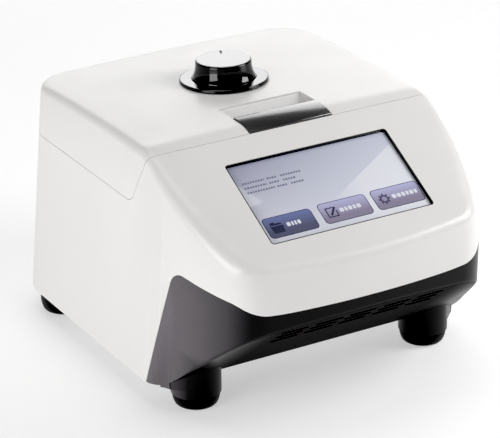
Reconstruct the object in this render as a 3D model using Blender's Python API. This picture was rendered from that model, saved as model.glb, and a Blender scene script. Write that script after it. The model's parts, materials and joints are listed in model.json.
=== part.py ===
"""A 96-well thermal cycler with a hinged hot lid, as an assembly of separate pieces.

Metres, +Z up. The front faces -Y, X is to the right. The origin is on the bench under the middle.
"""

import math

import bmesh
import bpy
from mathutils import Matrix, Vector

# ---- casing: plan outline at the height of the lid's front edge ----
SEAM_Y = -0.0535            # the lid's front edge, where the display panel starts
SEAM_Z = 0.2166             # height of that edge
HALF_WIDTH = 0.137
REAR_Y = 0.1695
REAR_CORNER = 0.035
NOSE_SIDE_ARC = 0.215       # the sides curve in towards the front on this radius
NOSE_START_Y = SEAM_Y - 0.005
NOSE_FRONT_ARC = 0.700      # the front is bowed on this radius
NOSE_Y = SEAM_Y - 0.121
NOSE_CORNER = 0.030
DRAFT = 0.078               # the walls lean out by this much for each metre down
FLOOR_Z = 0.0205            # lower edge of the casing walls
WALL = 0.0030
GAP = 0.0004                # visible joint between casing parts
ACROSS = 8                  # divisions of the top from side to side
SIDE_ROWS = (0.130, 0.080, 0.040, 0.018, 0.012, 0.006, 0.001, -0.005)  # rows of the top behind the seam

WIDE = 0.20                 # half length of tools that cross the whole machine

# ---- casing: top profile ----
PANEL_SLOPE = math.tan(math.radians(28.0))
LID_TOP_Z = 0.2203
LID_CREST_Y = SEAM_Y + 0.040
LID_SAG = 0.215             # curvature of the lid's top from front to rear
LID_CROWN = 0.0018          # rise of the middle above the side edges
ROLL_START_Y = SEAM_Y - 0.004
ROLL_END_Y = SEAM_Y + 0.018
LID_RIM = 0.008             # edge radius round the lid
PANEL_RIM = 0.020           # edge radius beside the lower panel
FRONT_RIM = 0.010           # edge radius under the panel

# ---- lid parting line, seen from the side ----
LID_SPLIT_Z = 0.1687
LID_SPLIT_Y = SEAM_Y + 0.0245
LID_SPLIT_RADIUS = 0.012

# ---- front base cover ----
WING_FOOT_Y = SEAM_Y - 0.0155   # where its side edge meets the floor
WING_LEAN = 0.27                # that edge leans forward on the way up
WING_TOP_Z = 0.1335
WING_RADIUS = 0.014
WING_PULL = 0.009               # the wing is drawn in this far at the floor
WING_FLANK = 0.025
UNDERSIDE_Y = SEAM_Y - 0.031    # where the sloping underside meets the floor
UNDERSIDE_SLOPE = 0.82
BAND_Z = 0.1105                 # lower edge of the white front
COLUMN_X = 0.114
COLUMN_Y = SEAM_Y - 0.033
COLUMN_RADIUS = 0.0216
COLUMN_BOTTOM = 0.012
COLUMN_TOP = 0.0430
# Web from each column to the wall: distance from the middle, from the column's centre, corner radius
SKIRT = ((0.1080, 0.0040, 0.0), (0.1440, 0.0040, 0.0), (0.1425, -0.0005, 0.0), (0.1400, -0.0040, 0.0020),
         (0.1290, -0.0155, 0.0), (0.1140, -0.0180, 0.0))

# ---- display ----
WINDOW_HALF = 0.0785
WINDOW_HEIGHT = 0.0876
WINDOW_Y = SEAM_Y - 0.0618
WINDOW_CORNER = 0.003
DISPLAY_DEPTH = 0.0026          # the glass lies this far below the panel

# ---- hot lid and block ----
BLOCK_Y = 0.0603
BLOCK_TOP = 0.1712
DECK_HOLE = (0.0765, 0.0575)    # half sizes of the opening in the deck
BLOCK_SIZE = (0.1160, 0.0800, 0.0210)
WELL_PITCH = 0.0090
WELL_RADIUS = 0.0028
WELL_DEPTH = 0.0150
WELL_SIDES = 6
PELTIER = 0.0040
KNOB_TILT = math.radians(3.0)
KNOB_RADIUS = 0.0247
KNOB_FOOT_RADIUS = 0.0278
KNOB_HEIGHT = 0.0160
DIAL_RADIUS = 0.0389
DIAL_THICKNESS = 0.0022
DIAL_PLATE = (0.0285, 0.0381)    # inner and outer radius of the polished ring
CAP_RADIUS = 0.0236
MARK_TURN = math.radians(-23.0)  # the mark on the cap points back and a little to the right
SPINDLE = 0.0030
SPINDLE_END = -0.0290           # lower end of the spindle, along the knob's axis
BUSH_RADIUS = 0.0060
NUT_RADIUS = 0.0065
CARRIER_TOP = -0.0135
ROD_X = 0.0440
ROD_RADIUS = 0.0020
ROD_END = -0.0290
PLATEN_Z = 0.1805               # underside of the hot plate at rest, screwed up
PLATEN_SIZE = (0.1180, 0.0820, 0.0060)

# ---- hinges and latch ----
HINGE_Y = 0.1775
HINGE_Z = 0.1687
HINGE_X = 0.070
HINGE_WIDTH = 0.0300
HINGE_LEAF_Y = 0.1560
KNUCKLE = 0.0045
HINGE_PIN = 0.0018
LATCH_Y = SEAM_Y + 0.0026
LATCH_Z = 0.2154
LATCH_HUB = 0.0019
LATCH_PIN = 0.0009
LATCH_ARC = 0.0680              # curvature of the handle's top
LATCH_CREST = (0.0225, 0.2213)  # highest point of that arc, behind the seam
LATCH_LENGTH = 0.0280
LATCH_THICK = 0.0022
LATCH_HALF = 0.0400
LATCH_HOOK = ((0.0050, -0.0005), (0.0070, 0.0012), (0.0115, 0.0012), (0.0310, -0.0450), (0.0310, -0.0560),
              (0.0230, -0.0560), (0.0226, -0.0530), (0.0268, -0.0520), (0.0268, -0.0460))
SPRING_X = 0.0220
STRIKER_EDGE = SEAM_Y + 0.0247
HOOK_SLOT_Y = (SEAM_Y + 0.0270, SEAM_Y + 0.0490)
HOOK_SLOT_HALF = 0.0100
RECESS_BACK = 0.0530            # the finger recess ends this far behind the seam
CUP_FLOOR = 0.1985

# ---- rear ----
REAR_OPENING_HALF = 0.108
REAR_OPENING_Z = (0.034, 0.150)
FAN_X = 0.0440
FAN_Z = 0.1075
FAN_SIZE = 0.0800
FAN_BLADES = 7
REAR_HOLES = {                  # centre and half size in the plane of the rear panel
    "inlet": (-0.0780, 0.0185, 0.0135, 0.0145),
    "switch": (-0.0400, 0.0185, 0.0100, 0.0135),
    "usb": (0.0800, 0.0140, 0.0070, 0.0038),
}
ROCKER_AXIS_Y = -0.0030
ROCKER_TILT = math.radians(10.0)

# ---- inside and underside ----
FINS = 19
REAR_FOOT_X = 0.128
REAR_FOOT_Y = 0.1335
BOARD_Z = 0.0300
BOARD_STUDS = ((-0.122, -0.0475), (-0.006, -0.0475), (-0.122, 0.0185), (-0.006, 0.0185))
BOARD_PARTS = ((-0.040, 0.020, 0.018, 0.018, 0.004), (-0.080, 0.022, 0.030, 0.014, 0.010),
               (-0.110, 0.050, 0.016, 0.030, 0.022), (-0.070, 0.055, 0.012, 0.012, 0.020),
               (-0.045, 0.055, 0.012, 0.012, 0.020), (-0.020, 0.050, 0.020, 0.008, 0.009))
VENT_ROWS = 3
VENT_COLUMNS = 5
VENT_TOP = 0.0895
VENT_PITCH_X = 0.0330
VENT_PITCH_Y = 0.0120
VENT_LENGTH = 0.0270
VENT_HEIGHT = 0.0048

CLEAR = 0.0003                  # between pieces that touch


# ---------------------------------------------------------------- materials
def material(name, colour, roughness, metallic=0.0):
    found = bpy.data.materials.get(name)
    if found:
        return found
    made = bpy.data.materials.new(name)
    made.use_nodes = True
    shader = made.node_tree.nodes["Principled BSDF"]
    shader.inputs["Base Color"].default_value = (*colour, 1.0)
    shader.inputs["Roughness"].default_value = roughness
    shader.inputs["Metallic"].default_value = metallic
    return made


MATERIALS = {
    "white": ((0.83, 0.82, 0.80), 0.38, 0.0),
    "black": ((0.020, 0.019, 0.020), 0.35, 0.0),
    "gloss_black": ((0.010, 0.010, 0.011), 0.08, 0.0),
    "rubber": ((0.015, 0.015, 0.015), 0.70, 0.0),
    "grey": ((0.20, 0.20, 0.21), 0.50, 0.0),
    "steel": ((0.60, 0.60, 0.61), 0.35, 1.0),
    "mirror": ((0.90, 0.90, 0.90), 0.05, 1.0),
    "aluminium": ((0.75, 0.76, 0.77), 0.32, 1.0),
    "glass": ((0.45, 0.47, 0.62), 0.08, 0.0),
    "ceramic": ((0.88, 0.88, 0.86), 0.60, 0.0),
    "board": ((0.02, 0.18, 0.08), 0.45, 0.0),
    "silicone": ((0.45, 0.16, 0.10), 0.60, 0.0),
    "brass": ((0.75, 0.55, 0.22), 0.30, 1.0),
}


# ---------------------------------------------------------------- mesh tools
def finish(name, bm, finish_name, parent=None, smooth=True):
    """Turn a bmesh into a named object with its own copy of a material."""
    bmesh.ops.recalc_face_normals(bm, faces=bm.faces)
    if bm.calc_volume(signed=True) < 0:
        bmesh.ops.reverse_faces(bm, faces=bm.faces)
    mesh = bpy.data.meshes.new(name)
    bm.to_mesh(mesh)
    bm.free()
    obj = bpy.data.objects.new(name, mesh)
    bpy.context.scene.collection.objects.link(obj)
    colour, roughness, metallic = MATERIALS[finish_name]
    mesh.materials.append(material(name + "_" + finish_name, colour, roughness, metallic))
    if smooth:
        mesh.shade_smooth()
        mesh.set_sharp_from_angle(angle=math.radians(35))
    if parent:
        obj.parent = parent
        obj.matrix_parent_inverse = parent.matrix_world.inverted()
    return obj


def block(low, high):
    """A box between two corners."""
    bm = bmesh.new()
    bmesh.ops.create_cube(bm, size=1.0)
    low, high = Vector(low), Vector(high)
    for vert in bm.verts:
        vert.co = Vector(low[k] + (vert.co[k] + 0.5) * (high[k] - low[k]) for k in range(3))
    return bm


def rod(start, end, radius, segments=20, end_radius=None):
    """A cylinder or cone between two points."""
    start, end = Vector(start), Vector(end)
    length = (end - start).length
    bm = bmesh.new()
    bmesh.ops.create_cone(bm, cap_ends=True, segments=segments, radius1=radius,
                          radius2=radius if end_radius is None else end_radius, depth=length)
    turn = Vector((0, 0, 1)).rotation_difference(end - start).to_matrix().to_4x4()
    bm.transform(Matrix.Translation((start + end) / 2) @ turn)
    return bm


def lathe(profile, segments):
    """Turn (radius, height) points about Z. The profile starts and ends on the axis, or closes on itself."""
    bm = bmesh.new()
    ring = closed_ring(profile)
    columns = []
    for k in range(segments):
        turn = 2 * math.pi * k / segments
        columns.append([bm.verts.new((r * math.cos(turn), r * math.sin(turn), h)) for r, h in profile])
    steps = len(profile) if ring else len(profile) - 1
    for k in range(segments):
        here, there = columns[k], columns[(k + 1) % segments]
        for j in range(steps):
            n = (j + 1) % len(profile)
            bm.faces.new((here[j], there[j], there[n], here[n]))
    bmesh.ops.remove_doubles(bm, verts=bm.verts, dist=1e-6)
    return bm


def closed_ring(profile):
    return profile[0][0] > 1e-9 and profile[-1][0] > 1e-9


def prism(outline, start, end, axis="x"):
    """A polygon extruded along an axis. Its points are (y, z) for x, (x, z) for y and (x, y) for z."""
    place = {
        "x": lambda p, d: (d, p[0], p[1]),
        "y": lambda p, d: (p[0], d, p[1]),
        "z": lambda p, d: (p[0], p[1], d),
    }[axis]
    bm = bmesh.new()
    near = [bm.verts.new(place(p, start)) for p in outline]
    far = [bm.verts.new(place(p, end)) for p in outline]
    bm.faces.new(near)
    bm.faces.new(list(reversed(far)))
    for i in range(len(outline)):
        j = (i + 1) % len(outline)
        bm.faces.new((near[i], far[i], far[j], near[j]))
    bmesh.ops.recalc_face_normals(bm, faces=bm.faces)
    return bm


def rounded(corners, steps=4):
    """A polygon of (a, b, radius) corners with each corner turned into an arc."""
    points = []
    count = len(corners)
    for i, (a, b, radius) in enumerate(corners):
        here = Vector((a, b))
        if radius <= 0:
            points.append((a, b))
            continue
        before = Vector(corners[i - 1][:2])
        after = Vector(corners[(i + 1) % count][:2])
        to_before, to_after = (before - here).normalized(), (after - here).normalized()
        opening = to_before.angle(to_after)
        reach = radius / math.tan(opening / 2)
        centre = here + (to_before + to_after).normalized() * (radius / math.sin(opening / 2))
        first, last = here + to_before * reach - centre, here + to_after * reach - centre
        sweep = first.angle_signed(last)
        for k in range(steps + 1):
            turn = -sweep * k / steps
            c, s = math.cos(turn), math.sin(turn)
            points.append(tuple(centre + Vector((first.x * c - first.y * s, first.x * s + first.y * c))))
    return points


def rectangle(half_a, half_b, radius, centre=(0.0, 0.0), steps=3):
    a, b = centre
    return rounded([(a - half_a, b - half_b, radius), (a + half_a, b - half_b, radius),
                    (a + half_a, b + half_b, radius), (a - half_a, b + half_b, radius)], steps)


def combine(obj, bm, operation):
    """Apply one exact Boolean to an object."""
    tool = finish(obj.name + "_tool", bm, "grey", smooth=False)
    tool.hide_render = True
    tool.display_type = "WIRE"
    modifier = obj.modifiers.new("combine", "BOOLEAN")
    modifier.operation = operation
    modifier.solver = "EXACT"
    modifier.object = tool
    graph = bpy.context.evaluated_depsgraph_get()
    graph.update()
    result = bpy.data.meshes.new_from_object(obj.evaluated_get(graph), depsgraph=graph)
    obj.modifiers.remove(modifier)
    old = obj.data
    kept = list(old.materials)
    obj.data = result
    result.materials.clear()
    for slot in kept:
        result.materials.append(slot)
    result.polygons.foreach_set("material_index", [0] * len(result.polygons))
    name = old.name
    bpy.data.meshes.remove(old)
    result.name = name
    tool_mesh = tool.data
    bpy.data.objects.remove(tool)
    bpy.data.meshes.remove(tool_mesh)
    return obj


def cut(obj, bm):
    return combine(obj, bm, "DIFFERENCE")


def join(obj, bm):
    return combine(obj, bm, "UNION")


def keep(obj, bm):
    return combine(obj, bm, "INTERSECT")


def moved(bm, matrix):
    bm.transform(matrix)
    return bm


def axis_empty(name, place, parent=None):
    """An empty on a joint's axis, which the moving pieces hang from."""
    empty = bpy.data.objects.new(name, None)
    bpy.context.scene.collection.objects.link(empty)
    if parent:
        empty.parent = parent
        empty.matrix_parent_inverse = parent.matrix_world.inverted()
    empty.location = place
    bpy.context.view_layer.update()
    return empty


# ---------------------------------------------------------------- casing form
def arc(centre, radius, start, end, steps, skip_first=True):
    """Points on an arc with their outward normals, as (x, y, normal x, normal y)."""
    points = []
    for k in range(1 if skip_first else 0, steps + 1):
        turn = start + (end - start) * k / steps
        nx, ny = math.cos(turn), math.sin(turn)
        points.append((centre[0] + radius * nx, centre[1] + radius * ny, nx, ny))
    return points


def nose_corner():
    """Centre of the front corner arc, and the directions where it meets the side arc and the front arc."""
    side_x, side_y = HALF_WIDTH - NOSE_SIDE_ARC, NOSE_START_Y
    front_x, front_y = 0.0, NOSE_Y + NOSE_FRONT_ARC
    dx, dy = front_x - side_x, front_y - side_y
    apart = math.hypot(dx, dy)
    from_side, from_front = NOSE_SIDE_ARC - NOSE_CORNER, NOSE_FRONT_ARC - NOSE_CORNER
    along = (from_side ** 2 - from_front ** 2 + apart ** 2) / (2 * apart)
    aside = math.sqrt(from_side ** 2 - along ** 2)
    x = side_x + (dx * along + dy * aside) / apart
    y = side_y + (dy * along - dx * aside) / apart
    return (x, y), math.atan2(y - side_y, x - side_x), math.atan2(y - front_y, x - front_x)


def side_chain():
    """The right side of the outline, from the rear edge's end to the front edge's end."""
    corner, side_turn, front_turn = nose_corner()
    chain = arc((HALF_WIDTH - REAR_CORNER, REAR_Y - REAR_CORNER), REAR_CORNER, math.pi / 2, 0.0, 5, False)
    for row in SIDE_ROWS:
        chain.append((HALF_WIDTH, SEAM_Y + row, 1.0, 0.0))
    chain += arc((HALF_WIDTH - NOSE_SIDE_ARC, NOSE_START_Y), NOSE_SIDE_ARC, 0.0, side_turn, 6)
    chain += arc(corner, NOSE_CORNER, side_turn, front_turn, 5)
    return chain


def edge_row(end, bow):
    """Points from the left end to the right end of the rear edge or the front edge."""
    x_end, y_end, _, ny = end
    row = []
    for k in range(ACROSS + 1):
        x = x_end * (2 * k / ACROSS - 1)
        if bow:
            y = NOSE_Y + NOSE_FRONT_ARC - math.sqrt(NOSE_FRONT_ARC ** 2 - x * x)
            nx, ny = x / NOSE_FRONT_ARC, -math.sqrt(1 - (x / NOSE_FRONT_ARC) ** 2)
        else:
            y, nx, ny = y_end, 0.0, 1.0
        row.append((x, y, nx, ny))
    return row


def loop_outline():
    """The whole outline: rear edge left to right, right side, front edge right to left, left side."""
    chain = side_chain()
    rear = edge_row(chain[0], False)
    front = edge_row(chain[-1], True)
    left = [(-x, y, -nx, ny) for x, y, nx, ny in chain]
    return rear + chain[1:-1] + front[::-1] + left[-2:0:-1]


def top_height(x, y):
    """Height of the casing's top: sloping panel, a soft roll, then the crowned lid."""
    if y <= ROLL_START_Y:
        return SEAM_Z + PANEL_SLOPE * (y - SEAM_Y)
    crown = LID_CROWN * (x / HALF_WIDTH) ** 2 * min(1.0, (y - ROLL_START_Y) / 0.03)
    lid = LID_TOP_Z - LID_SAG * (y - LID_CREST_Y) ** 2
    if y < ROLL_END_Y:
        share = (y - ROLL_START_Y) / (ROLL_END_Y - ROLL_START_Y)
        start = SEAM_Z + PANEL_SLOPE * (ROLL_START_Y - SEAM_Y)
        run = ROLL_END_Y - ROLL_START_Y
        end = LID_TOP_Z - LID_SAG * (ROLL_END_Y - LID_CREST_Y) ** 2
        rise = end - start
        lid = start + PANEL_SLOPE * run * (share - 2 * share ** 2 + share ** 3)
        lid += rise * (3 * share ** 2 - 2 * share ** 3)
    return lid - crown


def rim_radius(y, ny):
    """The edge radius grows beside the panel and is smaller again under it."""
    if y > SEAM_Y:
        return LID_RIM
    share = min(1.0, (SEAM_Y - y) / 0.09)
    side = LID_RIM + (PANEL_RIM - LID_RIM) * share
    frontal = max(0.0, min(1.0, (-ny - 0.6) / 0.35))
    return side + (FRONT_RIM - side) * frontal


def rim_points(point, inset, steps):
    """Points over the top edge at one place of the outline, from the wall to the top surface."""
    x, y, nx, ny = point
    z = SEAM_Z
    for _ in range(12):
        out = DRAFT * (SEAM_Z - z) - inset
        z = top_height(x + nx * out, y + ny * out) - inset
    out = DRAFT * (SEAM_Z - z) - inset
    slope = (top_height(x - nx * 0.012, y - ny * 0.012) - top_height(x - nx * 0.008, y - ny * 0.008)) / 0.004
    down = Vector((DRAFT, -1.0)).normalized()
    inward = Vector((-1.0, slope)).normalized()
    radius = max(0.0015, rim_radius(y, ny) - inset)
    opening = down.angle(inward)
    reach = radius / math.tan(opening / 2)
    centre = (down + inward).normalized() * (radius / math.sin(opening / 2))
    first, last = down * reach - centre, inward * reach - centre
    sweep = first.angle(last)
    points = []
    for k in range(steps + 1):
        a = math.sin(sweep * (1 - k / steps)) / math.sin(sweep)
        b = math.sin(sweep * k / steps) / math.sin(sweep)
        offset = centre + first * a + last * b
        points.append((x + nx * (out + offset.x), y + ny * (out + offset.x), z + offset.y))
    return points


def casing_form(inset, floor_z, steps=3):
    """The closed outer form of the whole machine, moved inwards by inset."""
    bm = bmesh.new()
    loop = loop_outline()
    rims = [rim_points(p, inset, steps) for p in loop]
    floor_out = DRAFT * (SEAM_Z - floor_z) - inset
    rings = [[bm.verts.new((x + nx * floor_out, y + ny * floor_out, floor_z)) for x, y, nx, ny in loop]]
    for k in range(steps + 1):
        rings.append([bm.verts.new(rim[k]) for rim in rims])
    count = len(loop)
    for low, high in zip(rings, rings[1:]):
        for i in range(count):
            j = (i + 1) % count
            bm.faces.new((low[i], low[j], high[j], high[i]))
    bm.faces.new(rings[0][::-1])
    top = rings[-1]
    side = len(side_chain()) - 1
    rows = [top[:ACROSS + 1]]
    for j in range(1, side):
        right, left = top[ACROSS + j], top[count - j]
        share = max(0.0, (j - side + 3) / 3) ** 2
        row = [left]
        for k in range(1, ACROSS):
            x = right.co.x * (2 * k / ACROSS - 1)
            bow = right.co.x ** 2 - x * x
            y = right.co.y - share * bow / (2 * NOSE_FRONT_ARC)
            row.append(bm.verts.new((x, y, top_height(x, y) - inset)))
        rows.append(row + [right])
    rows.append(top[ACROSS + side:2 * ACROSS + side + 1][::-1])
    for here, there in zip(rows, rows[1:]):
        for k in range(ACROSS):
            bm.faces.new((here[k], here[k + 1], there[k + 1], there[k]))
    bmesh.ops.recalc_face_normals(bm, faces=bm.faces)
    return bm


def nose_form(inset, floor_z, top_z):
    """The casing walls from the floor up, with both front wings drawn in towards the feet."""
    bm = bmesh.new()
    rings = []
    levels = 7
    for level in range(levels + 1):
        z = floor_z + (top_z - floor_z) * level / levels
        edge_y = WING_FOOT_Y - WING_LEAN * (z - FLOOR_Z)
        pull = WING_PULL * max(0.0, min(1.0, (0.118 - z) / (0.118 - FLOOR_Z)))
        ring = []
        for x, y, nx, ny in loop_outline():
            out = DRAFT * (SEAM_Z - z)
            share = max(0.0, min(1.0, (edge_y - y - ny * out) / WING_FLANK))
            out -= inset + pull * share
            ring.append(bm.verts.new((x + nx * out, y + ny * out, z)))
        rings.append(ring)
    for low, high in zip(rings, rings[1:]):
        for i in range(len(low)):
            j = (i + 1) % len(low)
            bm.faces.new((low[i], low[j], high[j], high[i]))
    bm.faces.new(rings[0][::-1])
    bm.faces.new(rings[-1])
    bmesh.ops.recalc_face_normals(bm, faces=bm.faces)
    return bm


def lid_zone(grow, low=None):
    """Everything above the lid's parting line, as a solid across the machine, grown outwards."""
    lean = (LID_SPLIT_Y - SEAM_Y) / (SEAM_Z - LID_SPLIT_Z)
    shift = grow * math.hypot(1.0, lean)
    radius = LID_SPLIT_RADIUS + grow if low is None else 0.0
    low = LID_SPLIT_Z - grow if low is None else low
    high = 0.26

    def front_y(z):
        return SEAM_Y + lean * (SEAM_Z - z) - shift

    outline = rounded([(0.30, low, 0), (0.30, high, 0), (front_y(high), high, 0),
                       (front_y(low), low, radius)], 5)
    return prism(outline, -WIDE, WIDE)


def wing_edge():
    """The upper edge of the front base cover in the side view, from the floor to the front."""
    peak_y = WING_FOOT_Y - WING_LEAN * (WING_TOP_Z - FLOOR_Z)
    return rounded([
        (WING_FOOT_Y, FLOOR_Z, 0),
        (peak_y, WING_TOP_Z, WING_RADIUS),
        (SEAM_Y - 0.108, 0.1230, 0.020),
        (SEAM_Y - 0.124, BAND_Z + 0.0012, 0.008),
        (SEAM_Y - 0.160, BAND_Z, 0),
    ], 4)[:-1] + [(SEAM_Y - 0.160, BAND_Z)]


def front_zone(gap):
    """Everything in front of the base cover's edge, which the white housing leaves free."""
    edge = [(y + gap, z + gap) for y, z in wing_edge()]
    outline = [(edge[0][0], -0.02)] + edge + [(-0.30, edge[-1][1]), (-0.30, -0.02)]
    return prism(outline, -WIDE, WIDE)


def cover_zone():
    """Between the base cover's upper edge and the sloping underside."""
    edge = [(y, z) for y, z in wing_edge() if y > SEAM_Y - 0.150]
    meet_y = UNDERSIDE_Y - (BAND_Z - FLOOR_Z) / UNDERSIDE_SLOPE
    outline = edge + [(meet_y, BAND_Z), (UNDERSIDE_Y, FLOOR_Z)]
    return prism(outline, -WIDE, WIDE)


def cover_hollow():
    """Inside of the base cover: it opens upwards and to the rear."""
    lift = WALL / math.cos(math.atan(UNDERSIDE_SLOPE))
    far_y = SEAM_Y - 0.150
    far_z = FLOOR_Z + lift + UNDERSIDE_SLOPE * (UNDERSIDE_Y - far_y)
    bend = UNDERSIDE_Y - (WALL - lift) / UNDERSIDE_SLOPE
    outline = [(0.10, FLOOR_Z + WALL), (0.10, 0.20), (far_y, 0.20), (far_y, far_z), (bend, FLOOR_Z + WALL)]
    return prism(outline, -WIDE, WIDE)


# ---------------------------------------------------------------- casing parts
def panel_frame():
    """Matrix of the display panel: local X to the right, local Y up the slope, local Z out of the panel."""
    angle = math.atan(PANEL_SLOPE)
    height = SEAM_Z + PANEL_SLOPE * (WINDOW_Y - SEAM_Y)
    return Matrix.Translation((0, WINDOW_Y, height)) @ Matrix.Rotation(angle, 4, "X")


def rear_frame():
    """Matrix of the rear wall: local X across, local Y outwards, local Z up the wall, origin low centre."""
    lean = math.atan(DRAFT)
    height = REAR_OPENING_Z[0]
    outer = REAR_Y + DRAFT * (SEAM_Z - height)
    return Matrix.Translation((0, outer, height)) @ Matrix.Rotation(lean, 4, "X")


def knob_frame():
    """Matrix of the knob: local Z along its axis, origin on the lid's top."""
    height = top_height(0.0, BLOCK_Y)
    return Matrix.Translation((0, BLOCK_Y, height)) @ Matrix.Rotation(-KNOB_TILT, 4, "X")


def as_tool(obj):
    """Take an object's mesh as a bmesh and remove the object."""
    bm = bmesh.new()
    bm.from_mesh(obj.data)
    bpy.data.objects.remove(obj)
    return bm


def make_upper_housing():
    obj = finish("upper_housing", casing_form(0.0, FLOOR_Z), "white")
    cut(obj, lid_zone(GAP))
    cavity = finish("cavity", casing_form(WALL, FLOOR_Z - 0.005), "grey")
    cut(cavity, lid_zone(GAP + WALL))
    cut(obj, as_tool(cavity))
    cut(obj, front_zone(GAP))
    window = rectangle(WINDOW_HALF, WINDOW_HEIGHT / 2, WINDOW_CORNER)
    cut(obj, moved(prism(window, -0.012, 0.010, "z"), panel_frame()))
    high = (REAR_OPENING_Z[1] - REAR_OPENING_Z[0]) / 2
    opening = rectangle(REAR_OPENING_HALF, high, 0.004, (0, high))
    cut(obj, moved(prism(opening, -0.010, 0.010, "y"), rear_frame()))
    deck_hole = rectangle(DECK_HOLE[0], DECK_HOLE[1], 0.004, (0, BLOCK_Y))
    cut(obj, prism(deck_hole, 0.155, 0.180, "z"))
    cut(obj, block((-HOOK_SLOT_HALF, HOOK_SLOT_Y[0], 0.160), (HOOK_SLOT_HALF, HOOK_SLOT_Y[1], 0.175)))
    for side in (-1, 1):
        cut(obj, hinge_notch(side * HINGE_X, -1))
    return obj


def hinge_notch(x, side):
    """Room for one hinge leaf and the knuckles, below the parting line (side -1) or above it (side 1)."""
    leaf_far, knuckle_far = HINGE_Z + side * 0.0026, HINGE_Z + side * 0.0062
    beyond = HINGE_Z - side * 0.0040
    half = HINGE_WIDTH / 2 + CLEAR
    outline = [(HINGE_LEAF_Y - CLEAR, leaf_far), (HINGE_Y - 0.0066, leaf_far),
               (HINGE_Y - 0.0066, knuckle_far),
               (HINGE_Y + 0.02, knuckle_far), (HINGE_Y + 0.02, beyond), (HINGE_LEAF_Y - CLEAR, beyond)]
    return prism(outline, x - half, x + half)


def make_lid_cover(parent):
    obj = finish("lid_cover", casing_form(0.0, FLOOR_Z), "white", parent)
    keep(obj, lid_zone(0.0))
    hollow = finish("hollow", casing_form(WALL, FLOOR_Z), "grey")
    keep(hollow, lid_zone(-WALL, LID_SPLIT_Z - 0.01))
    cut(obj, as_tool(hollow))
    knob = knob_frame()
    for side in (-1, 1):
        boss = rod((side * ROD_X, 0, -0.0130), (side * ROD_X, 0, -0.0015), 0.0042, 16)
        join(obj, moved(boss, knob))
    centre = (0, SEAM_Y + (RECESS_BACK - 0.004) / 2)
    recess = rectangle(LATCH_HALF + 0.0006, (RECESS_BACK + 0.004) / 2, 0.002, centre)
    cut(obj, prism(recess, 0.1985, 0.240, "z"))
    cut(obj, rod((-0.0445, LATCH_Y, LATCH_Z), (0.0445, LATCH_Y, LATCH_Z), LATCH_PIN + 0.0001, 16))
    cut(obj, moved(rod((0, 0, -0.02), (0, 0, 0.02), BUSH_RADIUS + CLEAR, 24), knob))
    cut(obj, moved(rod((0, 0, -0.0010), (0, 0, 0.02), DIAL_RADIUS + 0.0004, 48), knob))
    for side in (-1, 1):
        cut(obj, moved(rod((side * ROD_X, 0, -0.03), (side * ROD_X, 0, -0.0040), ROD_RADIUS + 0.0002, 16),
                       knob))
        cut(obj, hinge_notch(side * HINGE_X, 1))
    return obj


def make_lid_liner(parent):
    """The flat inner cover of the lid, with a collar round the hot plate."""
    low, high = LID_SPLIT_Z + 0.0022, LID_SPLIT_Z + 0.0046
    obj = finish("lid_liner", casing_form(WALL + CLEAR, FLOOR_Z), "grey", parent)
    keep(obj, block((-WIDE, SEAM_Y + 0.0290, low), (WIDE, WIDE, high)))
    collar = rectangle(PLATEN_SIZE[0] / 2 + 0.0040, PLATEN_SIZE[1] / 2 + 0.0040, 0.003, (0, BLOCK_Y))
    join(obj, prism(collar, high - 0.001, 0.1930, "z"))
    inner = rectangle(PLATEN_SIZE[0] / 2 + 0.0020, PLATEN_SIZE[1] / 2 + 0.0020, 0.002, (0, BLOCK_Y))
    cut(obj, prism(inner, 0.15, 0.20, "z"))
    cut(obj, block((-HOOK_SLOT_HALF, SEAM_Y + 0.010, 0.165), (HOOK_SLOT_HALF, HOOK_SLOT_Y[1], 0.180)))
    for side in (-1, 1):
        cut(obj, hinge_notch(side * HINGE_X, 1))
        cut(obj, block((side * HINGE_X - 0.0165, 0.150, 0.165), (side * HINGE_X + 0.0165, 0.180, 0.1722)))
    return obj


def make_front_base_cover():
    obj = finish("front_base_cover", nose_form(0.0, FLOOR_Z, 0.145), "black")
    keep(obj, cover_zone())
    hollow = finish("hollow", nose_form(WALL, FLOOR_Z - 0.002, 0.150), "grey")
    keep(hollow, cover_hollow())
    cut(obj, as_tool(hollow))
    for side in (-1, 1):
        corners = [(x * side, COLUMN_Y + y, radius) for x, y, radius in SKIRT]
        join(obj, prism(rounded(corners, 4), FLOOR_Z, COLUMN_TOP, "z"))
        join(obj, rod((side * COLUMN_X, COLUMN_Y, COLUMN_BOTTOM), (side * COLUMN_X, COLUMN_Y, COLUMN_TOP),
                      COLUMN_RADIUS, 28))
    for row in range(VENT_ROWS):
        for column in range(VENT_COLUMNS):
            cut(obj, vent_slot(row, column))
    return obj


def vent_slot(row, column):
    """One intake slot through the sloping underside."""
    slope = math.atan(UNDERSIDE_SLOPE)
    middle = UNDERSIDE_Y - (VENT_TOP - FLOOR_Z) / UNDERSIDE_SLOPE
    x = (column - (VENT_COLUMNS - 1) / 2) * VENT_PITCH_X
    along = -row * VENT_PITCH_Y
    frame = Matrix.Translation((x, middle, VENT_TOP)) @ Matrix.Rotation(-slope, 4, "X")
    outline = rectangle(VENT_LENGTH / 2, VENT_HEIGHT / 2, 0.0, (0, -along))
    return moved(prism(outline, -0.012, 0.012, "z"), frame)


# ---------------------------------------------------------------- base pieces
def make_chassis():
    """A folded steel floor with studs for the feet, the supply, the board and the side brackets."""
    low = FLOOR_Z + 0.0006
    high = low + 0.0015
    obj = finish("chassis_plate", casing_form(WALL + CLEAR, 0.015), "steel", smooth=False)
    keep(obj, block((-WIDE, SEAM_Y - 0.0105, low), (WIDE, WIDE, high)))
    for x, y in BOARD_STUDS:
        join(obj, rod((x, y, high - 0.0005), (x, y, BOARD_Z - CLEAR), 0.0030, 10))
    return obj


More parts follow.
